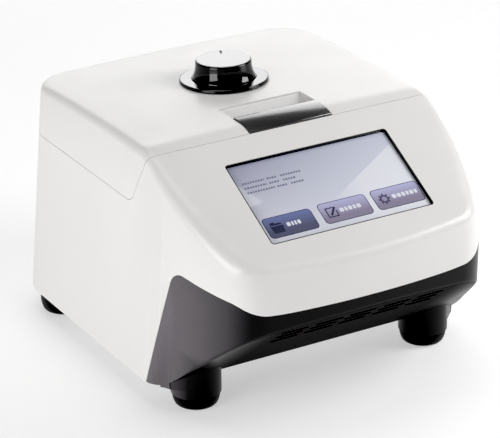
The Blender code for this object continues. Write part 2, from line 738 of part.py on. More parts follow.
def make_feet():
    profile = [(0.0, 0.0), (0.0145, 0.0), (0.0178, 0.0010), (0.0194, 0.0036), (0.0206, 0.0100),
               (0.0206, COLUMN_BOTTOM - CLEAR), (0.0, COLUMN_BOTTOM - CLEAR)]
    for side, word in ((-1, "left"), (1, "right")):
        foot = moved(lathe(profile, 24), Matrix.Translation((side * COLUMN_X, COLUMN_Y, 0)))
        finish("foot_front_" + word, foot, "rubber")
        tall = [(r, h) for r, h in profile[:-2]] + [(0.0206, 0.0180), (0.0185, FLOOR_Z), (0.0, FLOOR_Z)]
        foot = moved(lathe(tall, 24), Matrix.Translation((side * REAR_FOOT_X, REAR_FOOT_Y, 0)))
        finish("foot_rear_" + word, foot, "rubber")


def make_display():
    frame = panel_frame()
    outer = rectangle(WINDOW_HALF + 0.004, WINDOW_HEIGHT / 2 + 0.004, 0.003)
    depth = WALL + 0.0006
    bezel = prism(outer, -depth - 0.0040, -depth, "z")
    obj = finish("display_bezel", moved(bezel, frame), "black")
    sleeve = rectangle(WINDOW_HALF - CLEAR, WINDOW_HEIGHT / 2 - CLEAR, 0.003)
    join(obj, moved(prism(sleeve, -depth - 0.001, -0.0003, "z"), frame))
    inner = rectangle(WINDOW_HALF - 0.0011, WINDOW_HEIGHT / 2 - 0.0011, 0.002)
    cut(obj, moved(prism(inner, -0.02, 0.01, "z"), frame))
    glass = rectangle(WINDOW_HALF - 0.0014, WINDOW_HEIGHT / 2 - 0.0014, 0.002)
    finish("touch_screen", moved(prism(glass, -DISPLAY_DEPTH - 0.0040, -DISPLAY_DEPTH, "z"), frame), "glass")
    module = rectangle(WINDOW_HALF - 0.0005, WINDOW_HEIGHT / 2 - 0.0005, 0.002)
    finish("display_module", moved(prism(module, -0.0180, -0.0079, "z"), frame), "steel", smooth=False)


def make_sample_block():
    half_x, half_y, height = BLOCK_SIZE[0] / 2, BLOCK_SIZE[1] / 2, BLOCK_SIZE[2]
    obj = finish("sample_block", block((-half_x, BLOCK_Y - half_y, BLOCK_TOP - height),
                                       (half_x, BLOCK_Y + half_y, BLOCK_TOP)), "aluminium")
    wells = bmesh.new()
    for row in range(8):
        for column in range(12):
            x = (column - 5.5) * WELL_PITCH
            y = BLOCK_Y + (row - 3.5) * WELL_PITCH
            well = rod((x, y, BLOCK_TOP - WELL_DEPTH), (x, y, BLOCK_TOP + 0.002), WELL_RADIUS * 0.45,
                       WELL_SIDES,
                       WELL_RADIUS * 1.08)
            add_mesh(wells, well)
    cut(obj, wells)


def add_mesh(target, source):
    """Copy one bmesh into another."""
    mesh = bpy.data.meshes.new("copy")
    source.to_mesh(mesh)
    source.free()
    target.from_mesh(mesh)
    bpy.data.meshes.remove(mesh)


def make_thermal_stack():
    low = BLOCK_TOP - BLOCK_SIZE[2]
    surround = rectangle(DECK_HOLE[0] - CLEAR, DECK_HOLE[1] - CLEAR, 0.004, (0, BLOCK_Y))
    obj = finish("block_surround", prism(surround, low + 0.003, 0.1690, "z"), "grey")
    inner = rectangle(BLOCK_SIZE[0] / 2 + CLEAR, BLOCK_SIZE[1] / 2 + CLEAR, 0.0, (0, BLOCK_Y))
    cut(obj, prism(inner, 0.14, 0.18, "z"))
    outer = rectangle(BLOCK_SIZE[0] / 2 + 0.0060, BLOCK_SIZE[1] / 2 + 0.0060, 0.003, (0, BLOCK_Y))
    seal = finish("chamber_seal", prism(outer, 0.1693, 0.1706, "z"), "silicone")
    hole = rectangle(BLOCK_SIZE[0] / 2 + 0.0015, BLOCK_SIZE[1] / 2 + 0.0015, 0.002, (0, BLOCK_Y))
    cut(seal, prism(hole, 0.16, 0.18, "z"))
    top = low - CLEAR
    for column in range(2):
        for row in range(2):
            x = (column - 0.5) * 0.0560
            y = BLOCK_Y + (row - 0.5) * 0.0400
            pad = block((x - 0.0270, y - 0.0190, top - PELTIER), (x + 0.0270, y + 0.0190, top))
            finish("peltier_%d" % (1 + row * 2 + column), pad, "ceramic", smooth=False)
    return top - PELTIER - CLEAR


def make_heat_sink(top):
    half_x, front, back = 0.0760, 0.0060, 0.1180
    base = top - 0.0080
    low = 0.0810
    obj = finish("heat_sink", block((-half_x, front, base), (half_x, back, top)), "aluminium", smooth=False)
    pitch = (2 * half_x - 0.0018) / (FINS - 1)
    for k in range(FINS):
        x = -half_x + 0.0009 + k * pitch
        join(obj, block((x - 0.0009, front, low), (x + 0.0009, back, base + 0.001)))
    for side, word in ((-1, "left"), (1, "right")):
        inner, outer = side * (half_x + CLEAR), side * (half_x + 0.0018)
        far = side * (half_x + 0.0110)
        foot = FLOOR_Z + 0.0006 + 0.0015 + CLEAR
        outline = [(inner, base - 0.010), (inner, top - 0.001), (outer, top - 0.001), (outer, foot + 0.0015),
                   (far, foot + 0.0015), (far, foot), (inner, foot)]
        bracket = prism(outline, front + 0.026, back - 0.010, "y")
        finish("core_bracket_" + word, bracket, "steel", smooth=False)


def make_fans():
    """Two axial fans behind the heat sink, their frames and rotors, and the duct in front of them."""
    frame = rear_frame()
    local_z = FAN_Z - REAR_OPENING_Z[0]
    half = FAN_SIZE / 2
    for side, word in ((-1, "left"), (1, "right")):
        x = side * FAN_X
        body = prism(rectangle(half, half, 0.004, (x, local_z), 2), -0.0320, -0.0070, "y")
        obj = finish("fan_frame_" + word, moved(body, frame), "black")
        cut(obj, moved(rod((x, -0.04, local_z), (x, 0.0, local_z), 0.0380, 32), frame))
        join(obj, moved(rod((x, -0.0320, local_z), (x, -0.0285, local_z), 0.0160, 20), frame))
        for k in range(4):
            turn = Matrix.Rotation(math.pi / 4 + k * math.pi / 2, 4, "Y")
            arm = block((-0.0020, -0.0320, 0.0140), (0.0020, -0.0292, 0.0395))
            join(obj, moved(arm, frame @ Matrix.Translation((x, 0, local_z)) @ turn))
        centre = frame @ Matrix.Translation((x, 0, local_z))
        pivot = axis_empty("fan_axis_" + word, centre @ Vector((0, -0.018, 0)))
        rotor = finish("fan_rotor_" + word, moved(rod((0, -0.0280, 0), (0, -0.0085, 0), 0.0170, 24), centre),
                       "black", pivot)
        for k in range(FAN_BLADES):
            turn = Matrix.Rotation(k * 2 * math.pi / FAN_BLADES, 4, "Y")
            blade = fan_blade()
            join(rotor, moved(blade, centre @ turn))


def fan_blade():
    """One pitched blade, standing out from the hub along local Z."""
    bm = bmesh.new()
    rows = []
    for k in range(4):
        radius = 0.0160 + (0.0365 - 0.0160) * k / 3
        twist = math.radians(46 - 20 * k / 3)
        chord = 0.0150 + 0.0070 * k / 3
        lean = 0.0035 * (k / 3) ** 2
        row = []
        for along, thick in ((-0.5, 0.0004), (0.5, 0.0004), (0.5, -0.0004), (-0.5, -0.0004)):
            a = along * chord
            x = a * math.cos(twist) + thick * math.sin(twist) + lean
            y = a * math.sin(twist) * 0.72 - thick * math.cos(twist) * 2 - 0.0182
            height = math.sqrt(max(radius * radius - x * x, 1e-9))
            row.append(bm.verts.new((x, y, height)))
        rows.append(row)
    for low, high in zip(rows, rows[1:]):
        for i in range(4):
            j = (i + 1) % 4
            bm.faces.new((low[i], low[j], high[j], high[i]))
    bm.faces.new(rows[0][::-1])
    bm.faces.new(rows[-1])
    bmesh.ops.recalc_face_normals(bm, faces=bm.faces)
    bmesh.ops.triangulate(bm, faces=bm.faces)
    return bm


def make_rear_panel():
    """The steel rear panel, with grilles over the fans and openings for the inlet, switch and port."""
    frame = rear_frame()
    high = REAR_OPENING_Z[1] - REAR_OPENING_Z[0]
    outline = rectangle(REAR_OPENING_HALF - CLEAR, high / 2 - CLEAR, 0.0037, (0, high / 2))
    obj = finish("rear_panel", moved(prism(outline, -0.0030, -0.0012, "y"), frame), "steel", smooth=False)
    local_z = FAN_Z - REAR_OPENING_Z[0]
    for side in (-1, 1):
        for row in range(9):
            z = local_z + (row - 4) * 0.0082
            half = math.sqrt(0.0365 ** 2 - ((row - 4) * 0.0082) ** 2)
            x = side * FAN_X
            cut(obj, moved(block((x - half, -0.01, z - 0.0026), (x + half, 0.01, z + 0.0026)), frame))
    for name, (x, z, half_x, half_z) in REAR_HOLES.items():
        cut(obj, moved(block((x - half_x, -0.01, z - half_z), (x + half_x, 0.01, z + half_z)), frame))
    return obj


def make_rear_fittings():
    frame = rear_frame()
    x, z, half_x, half_z = REAR_HOLES["inlet"]
    # inlet: flanged box with a socket cavity and three pins, and a fuse drawer under the socket
    obj = finish("power_inlet", moved(block((x - half_x - 0.0030, -0.0009, z - half_z - 0.0030),
                                            (x + half_x + 0.0030, 0.0016, z + half_z + 0.0030)), frame),
                                            "black")
    join(obj, moved(block((x - half_x + CLEAR, -0.0260, z - half_z + CLEAR),
                          (x + half_x - CLEAR, 0.0, z + half_z - CLEAR)), frame))
    socket = rounded([(x - 0.0120, z - 0.0030, 0.001), (x + 0.0120, z - 0.0030, 0.001),
                      (x + 0.0120, z + 0.0080, 0.001),
                      (x + 0.0080, z + 0.0120, 0.001), (x - 0.0080, z + 0.0120, 0.001),
                      (x - 0.0120, z + 0.0080, 0.001)], 2)
    cut(obj, moved(prism(socket, -0.0180, 0.01, "y"), frame))
    for pin_x, pin_z in ((-0.0070, 0.0025), (0.0, 0.0065), (0.0070, 0.0025)):
        join(obj, moved(block((x + pin_x - 0.0010, -0.0200, z + pin_z - 0.0020),
                              (x + pin_x + 0.0010, -0.0030, z + pin_z + 0.0020)), frame))
    drawer = (x - 0.0110, x + 0.0110, z - 0.0125, z - 0.0055)
    cut(obj, moved(block((drawer[0], -0.0220, drawer[2]), (drawer[1], 0.01, drawer[3])), frame))
    pivot = axis_empty("fuse_drawer_axis", frame @ Vector((x, 0, z - 0.009)))
    fuse = block((drawer[0] + 0.0003, -0.0215, drawer[2] + 0.0003),
                 (drawer[1] - 0.0003, 0.0024, drawer[3] - 0.0003))
    obj = finish("fuse_drawer", moved(fuse, frame), "black", pivot)
    cut(obj, moved(block((drawer[0] + 0.002, -0.0200, drawer[2] + 0.0015),
                         (drawer[1] - 0.002, -0.0020, drawer[3] + 0.001)),
                   frame))
    # switch: a framed housing with a rocker on a cross pin
    x, z, half_x, half_z = REAR_HOLES["switch"]
    obj = finish("switch_frame", moved(block((x - half_x - 0.0020, -0.0009, z - half_z - 0.0020),
                                             (x + half_x + 0.0020, 0.0014, z + half_z + 0.0020)), frame),
                                             "black")
    join(obj, moved(block((x - half_x + CLEAR, -0.0180, z - half_z + CLEAR),
                          (x + half_x - CLEAR, 0.0, z + half_z - CLEAR)), frame))
    cut(obj, moved(block((x - half_x + 0.0020, -0.0160, z - half_z + 0.0020),
                         (x + half_x - 0.0020, 0.01, z + half_z - 0.0020)), frame))
    pivot = axis_empty("rocker_axis", frame @ Vector((x, ROCKER_AXIS_Y, z)))
    reach = half_z - 0.0032
    tilt = ROCKER_TILT
    face = [(-0.0040, -reach * 0.55), (0.0040, -reach), (0.0030, 0.0), (0.0040, reach),
            (-0.0040, reach * 0.55)]
    swung = [(a * math.cos(tilt) - b * math.sin(tilt) + ROCKER_AXIS_Y,
              a * math.sin(tilt) + b * math.cos(tilt) + z)
             for a, b in face]
    rocker = prism(swung, x - half_x + 0.0024, x + half_x - 0.0024)
    finish("power_rocker", moved(rocker, frame), "black", pivot)
    # data port: a folded metal shell
    x, z, half_x, half_z = REAR_HOLES["usb"]
    obj = finish("usb_port", moved(block((x - half_x + CLEAR, -0.0140, z - half_z + CLEAR),
                                         (x + half_x - CLEAR, 0.0, z + half_z - CLEAR)), frame), "steel",
                                         smooth=False)
    cut(obj, moved(block((x - half_x + 0.0009, -0.0110, z - half_z + 0.0009),
                         (x + half_x - 0.0009, 0.01, z + half_z - 0.0009)), frame))
    join(obj, moved(block((x - half_x + 0.0022, -0.0120, z - 0.0002),
                          (x + half_x - 0.0022, -0.0020, z + 0.0018)), frame))


def make_electronics():
    floor = FLOOR_Z + 0.0021 + CLEAR
    finish("power_supply", block((0.0080, SEAM_Y + 0.000, floor), (0.1280, SEAM_Y + 0.0780, floor + 0.0420)),
           "steel", smooth=False)
    obj = finish("main_board", block((-0.1280, SEAM_Y + 0.000, BOARD_Z), (0.0, SEAM_Y + 0.0780,
                                                                          BOARD_Z + 0.0016)),
                 "board", smooth=False)
    for x, y, wide, deep, tall in BOARD_PARTS:
        part = block((x - wide / 2, SEAM_Y + y - deep / 2, BOARD_Z + 0.0008),
                     (x + wide / 2, SEAM_Y + y + deep / 2, BOARD_Z + 0.0016 + tall))
        join(obj, part)


# ---------------------------------------------------------------- lid pieces
def make_hinges(lid):
    """Two butt hinges in the parting line: a fixed leaf, a lid leaf and a pin on each side."""
    third = HINGE_WIDTH / 3
    for side, word in ((-1, "left"), (1, "right")):
        x = side * HINGE_X
        left = x - HINGE_WIDTH / 2
        low = HINGE_Z - 0.0022
        base = finish("hinge_leaf_base_" + word, block((left, HINGE_LEAF_Y, low),
                                                       (left + HINGE_WIDTH, HINGE_Y - 0.0052,
                                                        HINGE_Z - 0.0003)), "steel")
        for start in (left, left + 2 * third):
            join(base, rod((start, HINGE_Y, HINGE_Z), (start + third, HINGE_Y, HINGE_Z), KNUCKLE, 16))
            join(base, block((start, HINGE_Y - 0.0070, low), (start + third, HINGE_Y, HINGE_Z - 0.0003)))
        for start in (left, left + 2 * third):
            cut(base, rod((start - 0.001, HINGE_Y, HINGE_Z), (start + third + 0.001, HINGE_Y, HINGE_Z),
                          HINGE_PIN + 0.0001, 16))
        high = HINGE_Z + 0.0022
        leaf = finish("hinge_leaf_lid_" + word, block((left, HINGE_LEAF_Y, HINGE_Z + 0.0003),
                                                      (left + HINGE_WIDTH, HINGE_Y - 0.0052, high)),
                                                      "steel", lid)
        middle = (left + third + CLEAR, left + 2 * third - CLEAR)
        join(leaf, rod((middle[0], HINGE_Y, HINGE_Z), (middle[1], HINGE_Y, HINGE_Z), KNUCKLE, 16))
        join(leaf, block((middle[0], HINGE_Y - 0.0070, HINGE_Z + 0.0003), (middle[1], HINGE_Y, high)))
        cut(leaf, rod((middle[0] - 0.001, HINGE_Y, HINGE_Z), (middle[1] + 0.001, HINGE_Y, HINGE_Z),
                      HINGE_PIN + 0.0001, 16))
        pin = rod((left - 0.0002, HINGE_Y, HINGE_Z), (left + HINGE_WIDTH + 0.0002, HINGE_Y, HINGE_Z),
                  HINGE_PIN, 16)
        finish("hinge_pin_" + word, pin, "steel")


def latch_profile():
    """Side view of the handle: a hub at the lip, then a curved plate back over the finger recess."""
    crest_y, crest_z = SEAM_Y + LATCH_CREST[0], LATCH_CREST[1]

    def on_arc(distance, depth):
        y = SEAM_Y + distance
        radius = LATCH_ARC - depth
        return y, crest_z - LATCH_ARC + math.sqrt(radius ** 2 - (y - crest_y) ** 2)

    hub = [(LATCH_Y + LATCH_HUB * math.cos(t), LATCH_Z + LATCH_HUB * math.sin(t))
           for t in (math.radians(a) for a in range(360, 179, -30))]
    lip = [(SEAM_Y + 0.0006, LATCH_Z + 0.0018), (SEAM_Y + 0.0012, LATCH_Z + 0.0026)]
    outer = [on_arc(d, 0.0) for d in (0.0020, 0.0060, 0.0110, 0.0165, 0.0225, LATCH_LENGTH - 0.0004)]
    inner = [on_arc(d, LATCH_THICK) for d in (LATCH_LENGTH, 0.0200, 0.0120, 0.0070)]
    return hub + lip + outer + inner


def make_latch(lid):
    pivot = axis_empty("latch_axis", (0, LATCH_Y, LATCH_Z), lid)
    obj = finish("latch_handle", prism(latch_profile(), -LATCH_HALF, LATCH_HALF), "gloss_black", pivot)
    cut(obj, rod((-0.05, LATCH_Y, LATCH_Z), (0.05, LATCH_Y, LATCH_Z), LATCH_PIN + 0.0001, 16))
    cut(obj, block((SPRING_X - 0.0032, LATCH_Y - 0.0017, LATCH_Z - 0.004),
                   (SPRING_X + 0.0032, LATCH_Y + 0.0030, LATCH_Z + 0.0017)))
    pin = rod((-0.0440, LATCH_Y, LATCH_Z), (0.0440, LATCH_Y, LATCH_Z), LATCH_PIN, 16)
    finish("latch_pin", pin, "steel", lid)
    coil = spring_coil(SPRING_X - 0.0026, SPRING_X + 0.0026, 0.00132, 0.00022, 5)
    finish("latch_spring", moved(coil, Matrix.Translation((0, LATCH_Y, LATCH_Z))), "steel", lid)
    # the hook hangs behind the lid's front wall and dips through the deck
    outline = [(LATCH_Y + a, LATCH_Z + b) for a, b in LATCH_HOOK]
    finish("latch_hook", prism(outline, -0.0075, 0.0075), "steel", pivot)
    # the striker plate under the front edge of the deck's slot
    low = LID_SPLIT_Z - GAP - WALL - CLEAR
    striker = block((-0.0140, SEAM_Y + 0.0150, low - 0.0020), (0.0140, STRIKER_EDGE, low))
    finish("latch_striker", striker, "steel", smooth=False)
    # the finger cup behind the handle
    cup = block((-0.0436, SEAM_Y + 0.0250, CUP_FLOOR - 0.0020),
                (0.0436, SEAM_Y + RECESS_BACK + 0.0026, 0.2148))
    obj = finish("grip_cup", cup, "white", lid)
    room = block((-0.0404, SEAM_Y, CUP_FLOOR), (0.0404, SEAM_Y + RECESS_BACK, 0.23))
    cut(obj, room)
    cut(obj, block((-0.0100, SEAM_Y, 0.18), (0.0100, SEAM_Y + 0.0310, 0.23)))


def spring_coil(start, end, radius, wire, turns):
    """A closed helical wire along X."""
    bm = bmesh.new()
    around, sides = 8, 4
    steps = turns * around
    rings = []
    for k in range(steps + 1):
        turn = 2 * math.pi * k / around
        x = start + (end - start) * k / steps
        ring = []
        for i in range(sides):
            angle = 2 * math.pi * i / sides
            out = radius + wire * math.cos(angle)
            ring.append(bm.verts.new((x + wire * math.sin(angle), out * math.cos(turn),
                                      out * math.sin(turn))))
        rings.append(ring)
    for low, high in zip(rings, rings[1:]):
        for i in range(sides):
            j = (i + 1) % sides
            bm.faces.new((low[i], low[j], high[j], high[i]))
    bm.faces.new(rings[0][::-1])
    bm.faces.new(rings[-1])
    return bm


def make_knob(lid):
    frame = knob_frame()
    pivot = axis_empty("knob_axis", frame.translation, lid)
    disc = [(BUSH_RADIUS + CLEAR, -0.0007), (DIAL_RADIUS - 0.0004, -0.0007), (DIAL_RADIUS, 0.0),
            (DIAL_RADIUS, 0.0016),
            (DIAL_RADIUS - 0.0003, DIAL_THICKNESS), (DIAL_PLATE[1] + 0.0002, DIAL_THICKNESS),
            (DIAL_PLATE[1] + 0.0002, 0.0012), (DIAL_PLATE[0] - 0.0002, 0.0012),
            (DIAL_PLATE[0] - 0.0002, DIAL_THICKNESS), (BUSH_RADIUS + CLEAR, DIAL_THICKNESS)]
    finish("dial_base", moved(lathe(disc, 36), frame), "gloss_black", lid)
    inner, outer = DIAL_PLATE
    plate = [(inner, 0.0014), (outer, 0.0014), (outer, 0.0021), (inner, 0.0021)]
    finish("dial_plate", moved(lathe(plate, 36), frame), "mirror", lid)
    low = DIAL_THICKNESS + 0.0004
    top = low + KNOB_HEIGHT
    body = [(SPINDLE + 0.0002, low), (KNOB_FOOT_RADIUS, low), (KNOB_FOOT_RADIUS, low + 0.0008)]
    for k in range(1, 6):
        share = k / 5
        radius = KNOB_FOOT_RADIUS - (KNOB_FOOT_RADIUS - KNOB_RADIUS) * (1 - (1 - share) ** 2.4)
        body.append((radius, low + 0.0008 + (KNOB_HEIGHT - 0.0026) * share))
    body += [(KNOB_RADIUS - 0.0002, top - 0.0008), (KNOB_RADIUS - 0.0010, top), (CAP_RADIUS + 0.0002, top),
             (CAP_RADIUS + 0.0002, top - 0.0010), (SPINDLE + 0.0002, top - 0.0010)]
    finish("knob", moved(lathe(body, 32), frame), "gloss_black", pivot)
    cap = [(0.0, top - 0.0008), (CAP_RADIUS, top - 0.0008), (CAP_RADIUS, top + 0.0001),
           (CAP_RADIUS - 0.0005, top + 0.0004),
           (0.0, top + 0.0004)]
    obj = finish("knob_cap", moved(lathe(cap, 32), frame), "mirror", pivot)
    mark = block((-0.0009, CAP_RADIUS - 0.0100, top), (0.0009, CAP_RADIUS - 0.0016, top + 0.01))
    cut(obj, moved(mark, frame @ Matrix.Rotation(MARK_TURN, 4, "Z")))
    screw = [(0.0, SPINDLE_END), (SPINDLE - 0.0006, SPINDLE_END), (SPINDLE, SPINDLE_END + 0.0010),
             (SPINDLE, -0.0100),
             (0.0072, -0.0100), (0.0072, -0.0080), (SPINDLE, -0.0080), (SPINDLE, top - 0.0014),
             (0.0, top - 0.0014)]
    finish("knob_spindle", moved(lathe(screw, 16), frame), "steel", pivot)
    bush = [(SPINDLE + 0.0002, -0.0070), (0.0090, -0.0070), (0.0090, -0.0052), (BUSH_RADIUS, -0.0052),
            (BUSH_RADIUS, 0.0018), (SPINDLE + 0.0002, 0.0018)]
    finish("spindle_bush", moved(lathe(bush, 18), frame), "brass", lid)
    for side, word in ((-1, "left"), (1, "right")):
        guide = rod((side * ROD_X, 0, ROD_END), (side * ROD_X, 0, -0.0043), ROD_RADIUS, 14)
        finish("guide_rod_" + word, moved(guide, frame), "steel", lid)


def make_platen(lid):
    frame = knob_frame()
    pivot = axis_empty("platen_axis", (0, BLOCK_Y, PLATEN_Z), lid)
    half_x, half_y = PLATEN_SIZE[0] / 2, PLATEN_SIZE[1] / 2
    plate = rectangle(half_x, half_y, 0.003, (0, BLOCK_Y))
    finish("heated_platen", prism(plate, PLATEN_Z, PLATEN_Z + PLATEN_SIZE[2], "z"), "aluminium", pivot)
    low = PLATEN_Z + PLATEN_SIZE[2] + CLEAR
    shell = rectangle(half_x + 0.0006, half_y + 0.0006, 0.003, (0, BLOCK_Y))
    obj = finish("platen_carrier", prism(shell, low, low + 0.0070, "z"), "grey", pivot)
    for x, radius in ((-ROD_X, 0.0060), (0.0, 0.0100), (ROD_X, 0.0060)):
        join(obj, moved(rod((x, 0, low - frame.translation.z + 0.004), (x, 0, CARRIER_TOP), radius, 24),
                        frame))
    cut(obj, moved(rod((0, 0, SPINDLE_END - 0.0013), (0, 0, 0.0), NUT_RADIUS + 0.0002, 20), frame))
    for side in (-1, 1):
        cut(obj, moved(rod((side * ROD_X, 0, ROD_END - 0.0010), (side * ROD_X, 0, 0.0), ROD_RADIUS + 0.0003,
                           14), frame))
    nut = [(SPINDLE + 0.0003, SPINDLE_END + 0.0005), (NUT_RADIUS, SPINDLE_END + 0.0005),
           (NUT_RADIUS, CARRIER_TOP),
           (SPINDLE + 0.0003, CARRIER_TOP)]
    finish("spindle_nut", moved(lathe(nut, 18), frame), "brass", pivot)


def main():
    for obj in list(bpy.data.objects):
        bpy.data.objects.remove(obj)
    make_upper_housing()
    make_front_base_cover()
    make_chassis()
    make_feet()
    make_display()
    make_sample_block()
    stack_floor = make_thermal_stack()
    make_heat_sink(stack_floor)
    make_fans()
    make_rear_panel()
    make_rear_fittings()
    make_electronics()
    lid = axis_empty("lid_axis", (0, HINGE_Y, HINGE_Z))
    make_lid_cover(lid)
    make_lid_liner(lid)
    make_hinges(lid)
    make_latch(lid)
    make_knob(lid)
    make_platen(lid)


main()
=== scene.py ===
"""Looks of the thermal cycler: fine shells, display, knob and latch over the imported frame."""

import json
from math import atan, atan2, cos, hypot, pi, radians, sin, sqrt, tan

import bmesh
import bpy
from mathutils import Matrix, Vector
from mathutils.bvhtree import BVHTree
from mathutils.interpolate import poly_3d_calc


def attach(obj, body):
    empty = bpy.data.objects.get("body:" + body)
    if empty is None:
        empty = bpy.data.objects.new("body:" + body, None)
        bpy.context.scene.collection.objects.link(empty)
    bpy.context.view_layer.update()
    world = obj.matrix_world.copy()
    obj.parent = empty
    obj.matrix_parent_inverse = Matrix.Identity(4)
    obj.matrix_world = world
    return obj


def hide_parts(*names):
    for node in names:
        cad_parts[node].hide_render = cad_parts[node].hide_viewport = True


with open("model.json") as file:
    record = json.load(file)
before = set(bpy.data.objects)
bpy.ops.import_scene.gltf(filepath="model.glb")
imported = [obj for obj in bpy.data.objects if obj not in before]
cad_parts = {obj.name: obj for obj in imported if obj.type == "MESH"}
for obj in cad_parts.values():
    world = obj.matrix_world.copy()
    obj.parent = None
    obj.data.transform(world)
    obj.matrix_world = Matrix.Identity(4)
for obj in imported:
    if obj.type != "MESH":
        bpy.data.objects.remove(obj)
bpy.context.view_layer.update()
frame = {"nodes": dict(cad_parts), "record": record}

# ---- casing dimensions, as in the CAD
SEAM_Y, SEAM_Z = -0.0535, 0.2166
HALF_WIDTH, REAR_Y, REAR_CORNER = 0.137, 0.1695, 0.035
NOSE_SIDE_ARC, NOSE_START_Y = 0.215, SEAM_Y - 0.005
NOSE_FRONT_ARC, NOSE_Y, NOSE_CORNER = 0.7, SEAM_Y - 0.121, 0.03
DRAFT, FLOOR_Z, WALL, GAP = 0.078, 0.0205, 0.003, 0.0004
PANEL_SLOPE = tan(radians(28))
LID_TOP_Z, LID_CREST_Y, LID_SAG, LID_CROWN = 0.2203, SEAM_Y + 0.04, 0.215, 0.0018
ROLL_START_Y, ROLL_END_Y = SEAM_Y - 0.004, SEAM_Y + 0.018
LID_RIM, PANEL_RIM, FRONT_RIM = 0.008, 0.02, 0.01
LID_SPLIT_Z, LID_SPLIT_Y, LID_SPLIT_RADIUS = 0.1687, SEAM_Y + 0.0245, 0.012
WING_FOOT_Y, WING_LEAN, WING_TOP_Z, WING_RADIUS = SEAM_Y - 0.0155, 0.27, 0.1335, 0.014
WING_PULL, WING_FLANK, WING_PULL_Z = 0.009, 0.025, 0.118
UNDERSIDE_Y, UNDERSIDE_SLOPE, BAND_Z = SEAM_Y - 0.031, 0.82, 0.1105
WINDOW_HALF, WINDOW_HEIGHT, WINDOW_Y, WINDOW_CORNER = 0.0785, 0.0876, SEAM_Y - 0.0618, 0.003
DISPLAY_DEPTH = 0.0026
BLOCK_Y = 0.0603
KNOB_TILT = radians(3)
REAR_OPENING_HALF, REAR_OPENING_Z = 0.108, (0.034, 0.15)
WIDE, FAR, ABOVE, CLEAR = 0.2, 0.3, 0.26, 0.0003
BEND, SHARP_FOLD, FOLD_GROWS = 0.006, 0.0006, (0.1, 0.125)

# ---- how finely the shells are divided
ACROSS = 36
SIDE_ROWS = (0.136, 0.105, 0.075, 0.055, 0.04, 0.03, 0.0235, 0.0185, 0.0145, 0.0115, 0.0085, 0.0055, 0.0028,
             -0.0022, -0.005)
CORNER_STEPS, NOSE_STEPS, NOSE_CORNER_STEPS, RIM_STEPS, FOLD_STEPS, WALL_LEVELS = 14, 22, 16, 8, 6, 26


# ---- mesh tools
def shade_to(mesh, degrees):
    """Smooth shading, with a hard edge where two faces meet at more than an angle."""
    mesh.shade_smooth()
    mesh.set_sharp_from_angle(angle=radians(degrees))


def welded(mesh, distance):
    """A copy of a mesh to edit, with its close vertices joined."""
    bm = bmesh.new()
    bm.from_mesh(mesh)
    bmesh.ops.remove_doubles(bm, verts=bm.verts, dist=distance)
    return bm


def write_back(bm, mesh):
    bm.to_mesh(mesh)
    bm.free()


def in_scene(name, data):
    obj = bpy.data.objects.new(name, data)
    bpy.context.scene.collection.objects.link(obj)
    return obj


def piece(name, bm, finish, body, smooth=35):
    """Turn a bmesh into an object that rides on a body."""
    bmesh.ops.recalc_face_normals(bm, faces=bm.faces)
    if bm.calc_volume(signed=True) < 0:
        bmesh.ops.reverse_faces(bm, faces=bm.faces)
    mesh = bpy.data.meshes.new(name)
    write_back(bm, mesh)
    obj = in_scene(name, mesh)
    if finish:
        mesh.materials.append(finish)
    if smooth:
        shade_to(mesh, smooth)
    if body:
        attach(obj, body)
    return obj


def moved(bm, matrix):
    bm.transform(matrix)
    return bm


def block(low, high):
    bm = bmesh.new()
    bmesh.ops.create_cube(bm, size=1)
    low, high = Vector(low), Vector(high)
    for vert in bm.verts:
        vert.co = Vector(low[k] + (vert.co[k] + 0.5) * (high[k] - low[k]) for k in range(3))
    return bm


def rod(start, end, radius, segments=48):
    start, end = Vector(start), Vector(end)
    bm = bmesh.new()
    bmesh.ops.create_cone(bm, cap_ends=True, segments=segments, radius1=radius, radius2=radius,
                          depth=(end - start).length)
    turn = Vector((0, 0, 1)).rotation_difference(end - start).to_matrix().to_4x4()
    bm.transform(Matrix.Translation((start + end) / 2) @ turn)
    return bm


def prism(outline, start, end, axis="x"):
    """A polygon extruded along an axis. Its points are (y, z) for x, (x, z) for y and (x, y) for z."""
    place = {
        "x": lambda p, d: (d, p[0], p[1]),
        "y": lambda p, d: (p[0], d, p[1]),
        "z": lambda p, d: (p[0], p[1], d),
    }[axis]
    bm = bmesh.new()
    near = [bm.verts.new(place(p, start)) for p in outline]
    far = [bm.verts.new(place(p, end)) for p in outline]
    bm.faces.new(near)
    bm.faces.new(list(reversed(far)))
    for i in range(len(outline)):
        j = (i + 1) % len(outline)
        bm.faces.new((near[i], far[i], far[j], near[j]))
    bmesh.ops.recalc_face_normals(bm, faces=bm.faces)
    return bm


def rounded(corners, steps=8):
    """A polygon of (a, b, radius) corners with each corner turned into an arc."""
    points = []
    count = len(corners)
    for i, (a, b, radius) in enumerate(corners):
        here = Vector((a, b))
        if radius <= 0:
            points.append((a, b))
            continue
        before = Vector(corners[i - 1][:2])
        after = Vector(corners[(i + 1) % count][:2])
        to_before, to_after = (before - here).normalized(), (after - here).normalized()
        opening = to_before.angle(to_after)
        reach = radius / tan(opening / 2)
        centre = here + (to_before + to_after).normalized() * (radius / sin(opening / 2))
        first, last = here + to_before * reach - centre, here + to_after * reach - centre
        sweep = first.angle_signed(last)
        for k in range(steps + 1):
            turn = -sweep * k / steps
            c, s = cos(turn), sin(turn)
            points.append(tuple(centre + Vector((first.x * c - first.y * s, first.x * s + first.y * c))))
    return points


def rectangle(half_a, half_b, radius, centre=(0, 0), steps=8):
    a, b = centre
    return rounded([(a - half_a, b - half_b, radius), (a + half_a, b - half_b, radius),
                    (a + half_a, b + half_b, radius), (a - half_a, b + half_b, radius)], steps)


